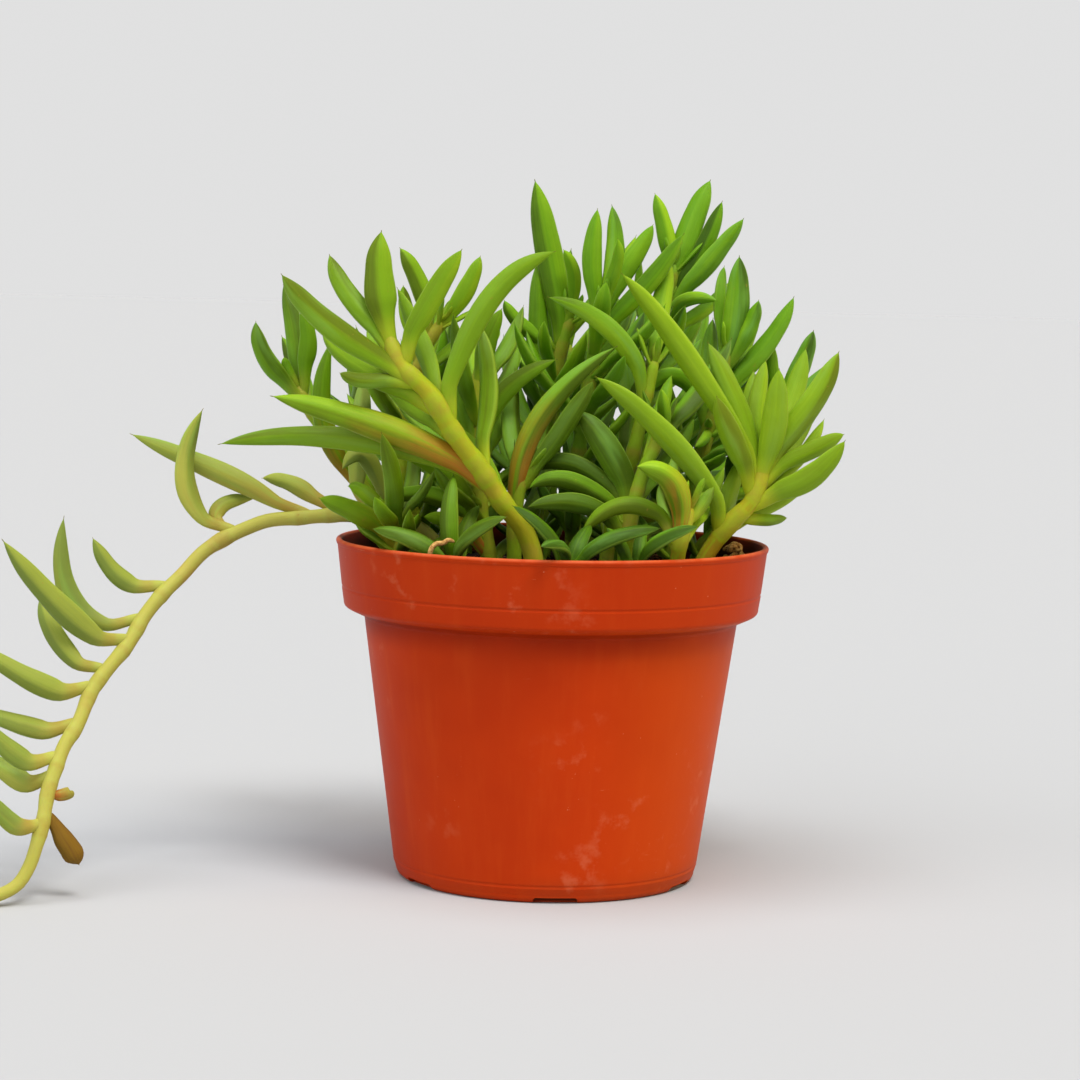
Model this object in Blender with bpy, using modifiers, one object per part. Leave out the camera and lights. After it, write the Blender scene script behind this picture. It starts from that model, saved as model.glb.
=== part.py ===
"""A potted string of fishhooks: leafy succulent stems in a thin plastic nursery pot.

Lengths are in millimetres in the tables and are turned into metres when a mesh is made.
The origin is the centre of the pot's foot on the surface, +Z up, +X right, +Y to the back.
"""
import math
import random
from collections import namedtuple
from itertools import product

import bmesh
import bpy
import numpy as np
from mathutils import Vector

MM = 0.001
OBJECT_NAME = "potted_string_of_fishhooks"
GAP = 0.3                      # air between two pieces that touch

# Pot: half sections as (radius, height)
POT_HEIGHT = 82.0
LIP_RADIUS = 52.5
BAND_TOP_RADIUS = 52.0
BAND_FOOT = (50.4, 65.9)
BODY_TOP = (45.4, 63.2)
BODY_FOOT = (37.2, 3.6)
FOOT_RADIUS = 36.6
FOOT_ROUNDING = 1.8
FLOOR_THICKNESS = 1.0
INNER_WALL = [(35.2, FLOOR_THICKNESS), (36.0, 2.6), (44.3, 63.4), (49.2, 66.3), (51.1, 81.2)]
POT_STEPS = 36
SLOT_COUNT = 6
SLOT_START = 34.0              # degrees from +X to the middle of the first drain slot
SLOT_SIZE = (7.0, 10.5, 2.8)   # along the radius, across it and in height
SLOT_RADIUS = 37.6

# Soil
SOIL_TOP = 74.3
SOIL_RINGS = [0.0, 15.0, 29.0, 41.0]
SOIL_STEPS = 24
SOIL_CLEAR = 0.4
HOLE_DEPTH = 12.0
HOLE_CLEAR = 0.65
HOLE_SIDES = 6

# Where the plant is looked at from: the tables give points in the plane y = 0 as they look from here
EYE = Vector((-3.0, -680.0, 141.0))

# Stems
STEM_RADIUS = 1.75
THICK_STEMS = {"stem_left_leader": 2.3, "stem_right_front": 2.0}
STEM_TIP_RADIUS = 1.0
STEM_STEP = 9.0
SMOOTH_RUNS = 12
STEM_SIDES_LEVEL = 1

# Leaves
LEAF_SIDES = 5
LEAF_STATIONS = [0.0, 0.1, 0.31, 0.55, 0.8, 1.0]
LEAF_THICKNESS = 0.6           # of the width
LEAF_WIDEST = 0.46             # of the length
LEAF_FOOT = 0.64               # width of a leaf's foot as a share of its full width
PETIOLE = 0.36                 # the same for the trailing stem's leaves, which narrow to a stalk
LEAF_TWIST = 0.4               # radians, the most that a leaf turns about its own line
CHECK_POINTS = 14
PUSHES = [0, 3, -3, 6, -6, 9, -9, 12, -12, 16, -16]
LEAF_SPREAD = 6.0              # how far a tip may lie nearer or further than its row says

# Filler leaves, which follow the golden angle up a stem
GOLDEN_ANGLE = math.radians(137.5)
FILLER_START = 8.0
FILLER_LENGTH = (29.0, 41.0)
FILLER_WIDTH = (4.4, 5.9)
FILLER_RISE = (0.55, 1.15)
FILLER_HOOK = 0.17
LOW_RISE = (0.5, 0.65)         # for the short stems behind the front rim, whose leaves arch over
LOW_HOOK = -0.24
FILLER_TURNS = [0.0, 0.35, -0.35, 0.7, -0.7, 1.05, -1.05]
FILLER_SHRINKS = [1.0, 0.75]
FILLER_FAN = 0.4               # how much of the full turn is used where the fillers keep to one side

# The outline of the foliage from the front, which every filler leaf's tip keeps inside
CROWN_TOP = [(-75, 120), (-68, 134), (-55, 140), (-44, 146), (-30, 144), (-12, 138), (-6, 152),
             (8, 155), (30, 158), (46, 150), (58, 136), (70, 122), (74, 110)]
CROWN_FOOT = [(-75, 120), (-52, 113), (-49, 0), (52, 0), (56, 93), (74, 110)]

# A leaf runs from a point by its stem over a middle point to its tip, all as seen; its tip lies `back` mm
# behind its base
Leaf = namedtuple("Leaf", "base via tip width back")
Stem = namedtuple("Stem", "name foot route leaves fillers facing size rise hook",
                  defaults=(1.0, FILLER_RISE, FILLER_HOOK))


# Each stem: its foot in the soil as (x, y), its route as seen (x, z) with the depth y, its own leaves,
# how many filler leaves it gets, the middle of the half circle they keep to, in degrees (None: all round),
# and, where they differ, the size of its filler leaves, how steeply they rise at its foot and its tip, and
# how far they hook up (or, below zero, arch over)
STEMS = [
    Stem("stem_left_leader", (-4.0, -25.0),
         [(-7, 84.5, -26), (-12, 90.5, -28), (-18, 99, -30), (-24.5, 107.5, -32), (-31, 117.5, -33),
          (-38, 124, -33), (-41, 131.5, -32)],
         [Leaf((-18, 96), (-42, 108.5), (-69, 115.5), 7.0, -9),
          Leaf((-19, 95), (-50, 105.5), (-81.5, 103.5), 5.4, 3),
          Leaf((-41, 130), (-43.3, 142), (-43, 156), 7.4, -3),
          Leaf((-40.5, 127), (-49.5, 139), (-55.5, 150), 5.0, 5),
          Leaf((-37, 121), (-54.5, 132.5), (-67, 145), 6.0, -6),
          Leaf((-33, 113), (-46, 121.5), (-57, 131), 5.0, 6),
          Leaf((-38, 127), (-30.5, 140), (-23.5, 152), 5.4, -5),
          Leaf((-28.5, 112), (-17.5, 138.5), (-1, 152), 5.4, -6),
          Leaf((-37, 119), (-46, 120), (-52.5, 121.5), 3.6, 2)], 7, 105),
    Stem("stem_left_inner", (-30.0, 6.0),
         [(-34, 87, 6), (-36.5, 95, 7), (-36.5, 106, 8), (-35.5, 117, 8), (-32, 127, 7), (-28, 135, 6)],
         [Leaf((-29, 131), (-33.5, 143), (-38.5, 152), 5.0, 3),
          Leaf((-32, 126), (-36, 135), (-37.5, 143), 4.0, -2),
          Leaf((-28, 132), (-22.5, 142), (-19, 150.5), 4.8, -2)], 9, 80),
    Stem("stem_left_back", (-36.0, 16.5),
         [(-42, 88, 17), (-47, 95, 18), (-54, 105, 20), (-60, 113, 21), (-63, 119, 22)],
         [Leaf((-61, 116), (-70, 124), (-73, 133.5), 5.0, -2),
          Leaf((-62.5, 118), (-63.5, 130), (-66.5, 142.5), 5.0, 1),
          Leaf((-62, 118), (-60.5, 127.5), (-62, 137.5), 4.6, -4),
          Leaf((-63, 119), (-65, 122), (-66, 125), 2.6, -3),
          Leaf((-47, 94), (-56, 109), (-54.5, 129.5), 5.2, -5),
          Leaf((-44.5, 91), (-47.5, 103), (-47, 117.5), 4.6, 3)], 6, 60),
    Stem("stem_rim_left", (-36.0, -15.0),
         [(-38, 84, -15), (-40, 88, -15)],
         [Leaf((-37, 82), (-47.5, 87.5), (-57, 91), 5.4, -7),
          Leaf((-38, 84), (-45, 92), (-50, 94), 4.0, 1)], 3, 270, 0.6, (0.2, 0.5)),
    Stem("stem_mid_left", (-15.0, -11.0),
         [(-17.5, 88, -11), (-18.5, 97, -10), (-19, 108, -9), (-19, 119, -8), (-18, 128, -7)],
         [Leaf((-17, 85), (-30, 100.5), (-45, 104.5), 5.4, -6),
          Leaf((-17, 84), (-29, 92), (-42, 90), 4.6, -4),
          Leaf((-16, 81), (-24, 85.5), (-31.5, 87), 4.2, -14),
          Leaf((-18, 102), (-13, 117), (0, 126), 4.8, -6),
          Leaf((-19, 105), (-22.7, 114), (-22.7, 123), 4.0, -5),
          Leaf((-19, 119), (-17, 129), (-13.5, 138), 4.8, -3)], 8, 90),
    Stem("stem_centre_tall", (-4.0, 14.0),
         [(-4, 90, 14), (-3, 101, 13), (-1, 117, 12), (1.5, 130, 11), (3.5, 137, 10)],
         [Leaf((2, 130), (-2, 150), (-6.3, 169), 7.0, 2),
          Leaf((-2, 116), (-4.5, 133), (-5, 150), 5.2, -5),
          Leaf((0, 128), (-8.5, 134), (-13, 140), 3.8, 3),
          Leaf((3.5, 137), (3.5, 146), (1, 152.5), 3.6, -3)], 7, 90),
    Stem("stem_centre", (5.0, 3.0),
         [(5, 92, 3), (6, 105, 3), (8, 121, 2), (9.5, 133, 1), (10, 140, 1)],
         [Leaf((9.7, 138), (8.2, 150), (9.0, 162.5), 5.0, -1),
          Leaf((10, 138), (13.4, 150), (12.4, 163.5), 5.0, 3),
          Leaf((10, 138), (13.5, 147), (14, 155.5), 3.4, -4),
          Leaf((10, 136), (17, 149), (22.5, 159), 5.0, -2),
          Leaf((9.5, 132), (21, 144.5), (30, 157), 5.0, 4)], 7, None),
    Stem("stem_right_tall", (16.0, 21.0),
         [(17, 92, 20), (19, 106, 18), (22.5, 121, 16), (25.5, 135, 14), (27, 143, 14), (28, 150, 14)],
         [Leaf((27.5, 147), (25.5, 157), (22.7, 166.5), 4.6, 2),
          Leaf((27.5, 145), (31.5, 158.5), (36, 170), 6.3, -1),
          Leaf((26.5, 138), (34, 152.5), (39, 165), 4.8, 3),
          Leaf((27, 141), (36.5, 150.5), (44.3, 161), 4.9, -3),
          Leaf((26, 136.5), (31, 141), (38.5, 141), 3.6, -5),
          Leaf((25.5, 134), (35, 138.5), (41, 145.5), 3.8, 2)], 7, 90),
    Stem("stem_right_upper", (29.0, 8.0),
         [(31, 90, 8), (34, 99, 6), (37.5, 111, 4), (40, 122, 3), (41.5, 130, 3)],
         [Leaf((41, 125), (43, 139), (43.5, 152), 6.3, -2),
          Leaf((41, 126), (46, 133.5), (48.5, 141.5), 4.8, 3),
          Leaf((40, 119), (50, 129.5), (57, 142.5), 5.0, 2),
          Leaf((38, 113), (28.5, 122.5), (19.5, 116), 4.4, -6),
          Leaf((37.5, 112), (36.5, 108), (34, 105.5), 2.6, -7)], 7, 60),
    Stem("stem_right_back", (36.0, 17.0),
         [(42, 88, 17), (47, 97, 16), (52, 108, 15), (55, 116, 15)],
         [Leaf((53, 112), (58.5, 124), (62, 134.5), 5.3, 2),
          Leaf((54, 114), (52, 122.5), (52.5, 131), 4.6, -3)], 7, 60),
    Stem("stem_right_front", (35.0, -17.0),
         [(40, 83, -18), (44, 88, -19), (48.5, 93, -20), (50, 97, -20), (51, 104, -20)],
         [Leaf((50.5, 101), (61, 115.5), (68.3, 129.5), 6.2, -1),
          Leaf((50.5, 99), (62, 105.5), (70.2, 109.5), 4.5, 6),
          Leaf((49, 94), (61.5, 98.5), (70.5, 108), 6.0, -5),
          Leaf((50, 100), (31.5, 127.5), (15.3, 147), 5.8, -3),
          Leaf((50, 98), (44, 115), (36.5, 131), 5.8, -5),
          Leaf((49.5, 96), (43, 107.5), (39, 118), 5.6, -10),
          Leaf((50.5, 99), (53, 112), (54, 125), 6.2, -6),
          Leaf((50.5, 102), (49, 115), (50.7, 127), 4.8, 4),
          Leaf((46, 90), (52, 88.5), (57, 88.8), 3.0, 3),
          Leaf((43.5, 87), (28, 107.5), (9.5, 122), 5.8, -8)], 8, 40),
    Stem("stem_front_right", (29.0, -27.0),
         [(31.5, 84, -29), (32.5, 88, -28), (33.5, 92, -27)],
         [Leaf((31.5, 84), (29, 96), (20, 100.5), 6.2, -6),
          Leaf((32.5, 88), (36, 91.5), (39, 96), 3.4, 4),
          Leaf((31.5, 85), (18, 91), (7, 83.5), 4.4, -5)], 4, 60, 0.8),
    Stem("stem_front_centre", (17.0, -19.0),
         [(18.5, 86, -20), (19.7, 92, -20), (22, 100, -19), (25, 107, -18), (26, 112, -18)],
         [Leaf((19.7, 91), (13.5, 104), (5, 113.5), 6.8, -2),
          Leaf((19, 89), (5, 100.5), (-7, 98.5), 4.6, 3),
          Leaf((18.5, 87), (5, 96.5), (-6, 94.5), 4.6, -3),
          Leaf((18, 84), (6, 91), (-6, 90), 4.8, -9),
          Leaf((25, 108), (26.5, 113), (25.5, 119.5), 3.6, -2)], 6, 60),
    Stem("stem_front_left", (-9.0, -17.0),
         [(-9, 88, -18), (-8.5, 93, -18), (-7, 100, -17)],
         [Leaf((-9, 86), (-4.5, 110), (14.5, 129.5), 5.4, -5),
          Leaf((-7.5, 97), (2.5, 110), (9, 121), 4.8, 2)], 6, 100),
    Stem("stem_centre_front", (13.0, -6.0),
         [(15, 89, -6), (18, 99, -7), (20.5, 110, -8), (22.5, 120, -8), (24, 127, -8)],
         [Leaf((22.5, 118), (13.5, 133), (-2.5, 141), 4.8, -6)], 9, 60),
    Stem("stem_back_left", (-22.0, 30.0),
         [(-25, 90, 31), (-29, 101, 34), (-32, 113, 37), (-34, 121, 39)], [], 11, None),
    Stem("stem_back_centre", (-2.0, 35.0),
         [(-1, 92, 36), (0, 106, 39), (2, 120, 42), (3, 130, 44)], [], 10, None),
    Stem("stem_back_right", (21.0, 34.0),
         [(25, 92, 36), (30, 104, 39), (35, 116, 43), (38, 124, 46)], [], 10, None),
    Stem("stem_back_low", (9.0, 39.0),
         [(12, 89, 45), (14, 95, 54), (15, 98, 62)], [], 9, 90),
    Stem("stem_front_low_left", (-22.0, -32.0), [(-24, 75.0, -34)], [], 5, None, 0.72, LOW_RISE, LOW_HOOK),
    Stem("stem_front_low_middle", (3.0, -38.5), [(4, 75.0, -40)], [], 5, None, 0.72, LOW_RISE, LOW_HOOK),
    Stem("stem_front_low_right", (19.0, -35.0), [(20, 75.0, -37)], [], 4, None, 0.65, LOW_RISE, LOW_HOOK),
]

# The trailing stem arches over the rim and then lies on the surface
TRAIL_NAME = "stem_trailing"
TRAIL_FOOT = (-26.0, -3.0)
TRAIL_RADIUS = 1.7
TRAIL_STEP = 7.5
TRAIL_ROUTE = [(-32, 84, -3), (-40, 86.5, -2), (-51, 87, -1), (-62, 86, -2), (-70, 85, -3),
               (-75, 83, -4), (-80, 80.5, -6), (-84.5, 77.5, -8), (-90.5, 71, -12), (-94.5, 67, -15),
               (-98.5, 62, -18), (-103.5, 53.5, -23), (-107.5, 48.5, -26), (-111.5, 43, -29),
               (-115.5, 33.5, -34), (-118.5, 28.5, -37), (-120.5, 23, -40), (-122.5, 16.5, -43),
               (-123.5, 10, -45.5), (-125, 4, -47.5), (-127, -2, -49), (-129.5, -6, -50.5)]
TRAIL_ON_SURFACE = [(-124.5, -53.0, 2.6), (-130.0, -54.5, 1.8), (-137.5, -55.5, 1.8),
                    (-146.0, -55.5, 1.8), (-154.0, -53.5, 1.8)]
TRAIL_LEAVES = [
    Leaf((-62, 85), (-80, 96), (-103, 105.5), 4.9, -3),
    Leaf((-80.5, 81), (-89.5, 94), (-85.5, 112), 4.8, 3),
    Leaf((-82, 80), (-81, 88), (-72.5, 90.5), 3.6, 6),
    Leaf((-96, 66.5), (-105.5, 71), (-112, 80), 4.2, -5),
    Leaf((-101.5, 58), (-117, 65), (-119, 85), 4.8, 8),
    Leaf((-104, 52.5), (-118.5, 61.5), (-134, 79), 5.6, -6),
    Leaf((-111.5, 46), (-120, 54.5), (-124.5, 65.5), 4.6, 7),
    Leaf((-114.5, 41.5), (-124, 43.5), (-142, 54), 5.0, -7),
    Leaf((-117, 32), (-126.5, 33), (-143, 38), 4.6, 7),
    Leaf((-122, 24), (-130, 26), (-141, 36), 4.6, -6),
    Leaf((-123, 19), (-129.5, 20), (-142, 29), 4.6, 8),
    Leaf((-124.5, 7), (-130, 8), (-139, 18), 4.4, -7),
    Leaf((-119.5, 15), (-118, 16), (-116.5, 17.5), 2.8, 0),
    Leaf((-123, 9), (-118, 5), (-114.5, -1), 4.4, -2),
    Leaf((-47.5, 87), (-47.5, 105), (-46.5, 121), 5.0, 4),
    Leaf((-39, 86), (-45.5, 100.5), (-51.5, 98), 4.0, -5),
    Leaf((-54.5, 87), (-62, 93.5), (-71, 95.5), 4.0, 8),
]
# Leaves on the stretch that lies: the place along the stem in mm from its end, heading in degrees from +X,
# rise of the tip in mm, length and width
TRAIL_LYING_LEAVES = [(27.0, 222.0, 15.0, 30.0, 4.6), (20.0, 140.0, 16.0, 30.0, 4.6),
                      (13.0, 215.0, 14.0, 25.0, 4.4), (7.0, 148.0, 13.0, 22.0, 4.0),
                      (1.5, 200.0, 8.0, 17.0, 3.6), (1.0, 170.0, 12.0, 14.0, 3.2)]

POT_COLOUR = (0.46, 0.055, 0.008)
SOIL_COLOUR = (0.055, 0.032, 0.018)
LEAF_COLOUR = (0.12, 0.26, 0.03)
TRAIL_COLOUR = (0.20, 0.31, 0.05)


def seen_at(x, z, depth):
    """The point at y = depth that looks, from EYE, as if it were at (x, z) in the plane y = 0."""
    share = (depth - EYE.y) / -EYE.y
    return EYE + (Vector((x, 0.0, z)) - EYE) * share


def smooth_route(points, step):
    """A smooth line through the points that sets off straight up, cut into runs of about `step` mm."""
    chords = [(b - a).length for a, b in zip(points, points[1:])]
    slopes = [(b - a) / h for a, b, h in zip(points, points[1:], chords)]
    tangents = [Vector((0.0, 0.0, 1.0))]
    for before, after, h0, h1 in zip(slopes, slopes[1:], chords, chords[1:]):
        tangents.append((before * h1 + after * h0) / (h0 + h1))
    tangents.append(slopes[-1])
    line = []
    for start, end, h, m0, m1 in zip(points, points[1:], chords, tangents, tangents[1:]):
        for t in (i / SMOOTH_RUNS for i in range(SMOOTH_RUNS)):
            line.append(start * (2 * t**3 - 3 * t**2 + 1) + m0 * (h * (t**3 - 2 * t**2 + t))
                        + end * (3 * t**2 - 2 * t**3) + m1 * (h * (t**3 - t**2)))
    line.append(points[-1].copy())
    lengths = route_lengths(line)
    count = max(2, round(lengths[-1] / step))
    return [route_point(line, lengths, lengths[-1] * i / count)[0] for i in range(count + 1)]


def route_lengths(route):
    """How far along a route each of its points lies."""
    return np.cumsum([0.0] + [(b - a).length for a, b in zip(route, route[1:])])


def route_point(route, lengths, place):
    """The point and the direction at a place along a route."""
    i = min(int(np.searchsorted(lengths, place, side="right")) - 1, len(route) - 2)
    share = min(1.0, (place - lengths[i]) / (lengths[i + 1] - lengths[i]))
    return route[i].lerp(route[i + 1], share), (route[i + 1] - route[i]).normalized()


def soil_height(x, y):
    """The top of the soil: low mounds and hollows."""
    mounds = 0.6 * math.sin(0.16 * x + 0.9) * math.cos(0.13 * y)
    ripples = 0.35 * math.sin(0.31 * y - 0.22 * x)
    return SOIL_TOP + mounds + ripples


def stem_route(foot, seen, step, beyond=()):
    """A stem's centre line: upright in its hole, along the seen points and then along those beyond."""
    x, y = foot
    above = [Vector((x, y, SOIL_TOP + 1))] + [seen_at(*point) for point in seen]
    above += [Vector(point) for point in beyond]
    return [Vector((x, y, SOIL_TOP - HOLE_DEPTH + GAP))] + smooth_route(above, step)


def leaf_curve(base, via, tip):
    """The three control points of the curve that passes `via` half way."""
    return base, via * 2 - (base + tip) / 2, tip


def curve_point(curve, t):
    return curve[0] * (1 - t)**2 + curve[1] * (2 * t * (1 - t)) + curve[2] * t**2


def curve_tangent(curve, t):
    return ((curve[1] - curve[0]) * (1 - t) + (curve[2] - curve[1]) * t).normalized()


def leaf_swell(t, foot):
    """The width along a leaf, as a share of the full width: its foot, a belly and a pointed tip."""
    if t < LEAF_WIDEST:
        return foot + (1 - foot) * math.sin(math.pi / 2 * t / LEAF_WIDEST)**1.6
    past = (t - LEAF_WIDEST) / (1 - LEAF_WIDEST)
    return (1 - past**2.1)**0.95


def leaf_foot(name):
    """How wide the foot of a leaf on this stem is."""
    return PETIOLE if name == TRAIL_NAME else LEAF_FOOT


def leaf_beads(curve, width, foot):
    """Balls that hold the leaf, for the clearance rule: rows of x, y, z, radius."""
    rows = []
    for i in range(CHECK_POINTS + 1):
        t = i / CHECK_POINTS
        point = curve_point(curve, t)
        rows.append((point.x, point.y, point.z, max(0.3, 0.45 * width * leaf_swell(t, foot))))
    return np.array(rows)


def stem_beads(route, radius):
    """Balls that hold the stem, close enough together to leave no gap."""
    rows = []
    for a, b in zip(route, route[1:]):
        pieces = max(2, math.ceil((b - a).length / 1.5))
        for i in range(pieces):
            point = a.lerp(b, i / pieces)
            rows.append((point.x, point.y, point.z, radius))
    return np.array(rows)


def inner_radius(z):
    """The pot's inner radius at a height."""
    radii, heights = zip(*INNER_WALL)
    return float(np.interp(z, heights, radii))


def clear_of_pot(beads, skip):
    """True where no ball past the first `skip` touches the surface, the pot or the soil."""
    for x, y, z, radius in beads[skip:]:
        away = math.hypot(x, y)
        if z - radius < GAP:
            return False
        if z - radius > POT_HEIGHT + GAP:
            continue
        if away - radius > LIP_RADIUS + GAP:
            continue
        if away + radius > inner_radius(z) - GAP or z - radius < soil_height(x, y) + GAP:
            return False
    return True


def clear_of(beads, others, margin):
    """True where every ball keeps the margin to every other ball."""
    if len(others) == 0:
        return True
    apart = np.linalg.norm(beads[:, None, :3] - others[None, :, :3], axis=2)
    return bool(np.all(apart > beads[:, None, 3] + others[None, :, 3] + margin))


def nearest_on(route, x, z):
    """The place on a route that looks nearest to (x, z) from EYE."""
    best, found = None, None
    for a, b in zip(route, route[1:]):
        for i in range(8):
            point = a.lerp(b, i / 8)
            share = -EYE.y / (point.y - EYE.y)
            seen = EYE + (point - EYE) * share
            miss = (seen.x - x)**2 + (seen.z - z)**2
            if best is None or miss < best:
                best, found = miss, point
    return found


class Plant:
    """The stems' routes and the leaves' curves, worked out one after another so that none cross."""

    def __init__(self):
        self.routes = {}
        self.radii = {}
        self.leaves = {}
        self.beads = {}
        self.left_out = []

    def add_stem(self, name, route, radius):
        self.routes[name] = route
        self.radii[name] = radius
        self.leaves[name] = []
        self.beads[name] = [stem_beads(route, radius)]

    def others(self, name):
        rows = [beads for key, group in self.beads.items() if key != name for beads in group]
        return np.concatenate(rows)

    def fits(self, name, beads):
        return clear_of_pot(beads, 2) and clear_of(beads, self.others(name), GAP + 0.1)

    def keep(self, name, curve, width, facing, beads):
        self.leaves[name].append((curve, width, facing))
        self.beads[name].append(beads)

    def add_seen_leaf(self, name, row, number):
        """Adds a leaf given as it is seen, bent nearer or further until it is clear of the other stems."""
        base = nearest_on(self.routes[name], *row.base)
        chance = random.Random(f"{name} {number}")
        twist = chance.uniform(-LEAF_TWIST, LEAF_TWIST)
        spread = chance.uniform(-LEAF_SPREAD, LEAF_SPREAD)
        for push in PUSHES:
            back = row.back + spread + push
            tip = seen_at(row.tip[0], row.tip[1], base.y + back)
            via = seen_at(row.via[0], row.via[1], base.y + 0.55 * back)
            curve = leaf_curve(base, via, tip)
            beads = leaf_beads(curve, row.width, leaf_foot(name))
            if self.fits(name, beads):
                facing = (EYE - via).normalized()
                side = facing.cross(tip - base).normalized()
                self.keep(name, curve, row.width, facing * math.cos(twist) + side * math.sin(twist), beads)
                return
        self.left_out.append((name, number))

    def add_free_leaf(self, name, base, heading, rise, length, width, along, hook=FILLER_HOOK):
        """Adds a leaf that leaves the stem at `heading`, rises and hooks or arches. True where it fits."""
        out = Vector((math.cos(heading), math.sin(heading), 0.0))
        out = (out - along * out.dot(along)).normalized()
        lean = (out * math.cos(rise) + along * math.sin(rise)).normalized()
        tip = base + lean * length
        bow = (out * math.sin(rise) - along * math.cos(rise)) * (hook * length)
        curve = leaf_curve(base, base + lean * (0.5 * length) + bow * 0.6, tip)
        beads = leaf_beads(curve, width, leaf_foot(name))
        own = np.concatenate(self.beads[name])
        beyond = beads[len(beads) // 3:]
        if not self.fits(name, beads) or not clear_of(beyond, own, 0.1) or not self.inside_crown(tip):
            return False
        self.keep(name, curve, width, along, beads)
        return True

    def inside_crown(self, tip):
        share = -EYE.y / (tip.y - EYE.y)
        seen = EYE + (tip - EYE) * share
        top = float(np.interp(seen.x, *zip(*CROWN_TOP)))
        foot = float(np.interp(seen.x, *zip(*CROWN_FOOT)))
        return CROWN_TOP[0][0] < seen.x < CROWN_TOP[-1][0] and foot < seen.z < top

    def add_fillers(self, stem):
        """Fills a stem with leaves by the golden angle, from its tip down."""
        name = stem.name
        chance = random.Random(name)
        route = self.routes[name]
        lengths = route_lengths(route)
        start = min(HOLE_DEPTH + FILLER_START, 0.8 * lengths[-1])
        turn = chance.uniform(0.0, 2 * math.pi)
        for number in range(stem.fillers):
            high = 1.0 - (number + chance.uniform(0.0, 0.6)) / stem.fillers
            base, along = route_point(route, lengths, start + (lengths[-1] - start) * high)
            turn += GOLDEN_ANGLE
            length = chance.uniform(*FILLER_LENGTH) * (1.0 - 0.25 * high) * stem.size
            width = chance.uniform(*FILLER_WIDTH) * stem.size**0.5
            rise = stem.rise[0] + (stem.rise[1] - stem.rise[0]) * high + chance.uniform(-0.1, 0.1)
            for change, shrink in product(FILLER_TURNS, FILLER_SHRINKS):
                heading = turn + change
                if stem.facing is not None:
                    heading = math.radians(stem.facing) + FILLER_FAN * math.remainder(heading, 2 * math.pi)
                if self.add_free_leaf(name, base, heading, rise, length * shrink, width * shrink**0.5,
                                      along, stem.hook):
                    break


def grow_plant():
    """Works out every stem and leaf."""
    plant = Plant()
    for stem in STEMS:
        radius = THICK_STEMS.get(stem.name, STEM_RADIUS)
        plant.add_stem(stem.name, stem_route(stem.foot, stem.route, STEM_STEP), radius)
    trail = stem_route(TRAIL_FOOT, TRAIL_ROUTE, TRAIL_STEP, TRAIL_ON_SURFACE)
    plant.add_stem(TRAIL_NAME, trail, TRAIL_RADIUS)
    for number, row in enumerate(TRAIL_LEAVES):
        plant.add_seen_leaf(TRAIL_NAME, row, number)
    for stem in STEMS:
        for number, row in enumerate(stem.leaves):
            plant.add_seen_leaf(stem.name, row, number)
    add_lying_leaves(plant)
    for stem in STEMS:
        plant.add_fillers(stem)
    return plant


def add_lying_leaves(plant):
    """Leaves on the stretch of the trailing stem that lies on the surface, all rising from it."""
    route = plant.routes[TRAIL_NAME]
    lengths = route_lengths(route)
    for from_end, heading, rise, length, width in TRAIL_LYING_LEAVES:
        base = route_point(route, lengths, lengths[-1] - from_end)[0]
        turn = math.radians(heading)
        flat = Vector((math.cos(turn), math.sin(turn), 0.0))
        run = math.sqrt(length**2 - rise**2)
        tip = base + flat * run + Vector((0.0, 0.0, rise))
        via = base + flat * (0.54 * run) + Vector((0.0, 0.0, 0.36 * rise + 0.8))
        curve = leaf_curve(base, via, tip)
        beads = leaf_beads(curve, width, leaf_foot(TRAIL_NAME))
        plant.keep(TRAIL_NAME, curve, width, Vector((0.0, 0.0, 1.0)), beads)


def plain_material(name, colour, roughness):
    """A plain Principled material for one node."""
    material = bpy.data.materials.new(name + "_finish")
    material.use_nodes = True
    shader = material.node_tree.nodes["Principled BSDF"]
    shader.inputs["Base Color"].default_value = (*colour, 1.0)
    shader.inputs["Roughness"].default_value = roughness
    shader.inputs["Metallic"].default_value = 0.0
    return material


def add_object(name, mesh, collection):
    piece = bpy.data.objects.new(name, mesh)
    collection.objects.link(piece)
    return piece


def evaluated_mesh(piece):
    """The object's mesh with its modifiers applied, as a new mesh."""
    graph = bpy.context.evaluated_depsgraph_get()
    return bpy.data.meshes.new_from_object(piece.evaluated_get(graph), depsgraph=graph)


def weld(mesh, distance):
    cleaner = bmesh.new()
    cleaner.from_mesh(mesh)
    bmesh.ops.remove_doubles(cleaner, verts=cleaner.verts, dist=distance)
    bmesh.ops.recalc_face_normals(cleaner, faces=cleaner.faces)
    cleaner.to_mesh(mesh)
    cleaner.free()


def turned_piece(name, profile, steps, collection):
    """A solid turned about the Z axis from a half section in mm that runs down its outer side."""
    mesh = bpy.data.meshes.new(name)
    points = [(radius * MM, 0.0, height * MM) for radius, height in profile]
    mesh.from_pydata(points, [(i, i + 1) for i in range(len(points) - 1)], [])
    piece = add_object(name, mesh, collection)
    screw = piece.modifiers.new("turn", "SCREW")
    screw.axis = "Z"
    screw.steps = steps
    screw.render_steps = steps
    screw.use_merge_vertices = True
    screw.merge_threshold = 0.00001
    return piece


def arc(centre, radius, start, end, pieces):
    """Points on a round corner, with the angles in degrees."""
    points = []
    for i in range(pieces + 1):
        angle = math.radians(start + (end - start) * i / pieces)
        points.append((centre[0] + radius * math.cos(angle), centre[1] + radius * math.sin(angle)))
    return points


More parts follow.
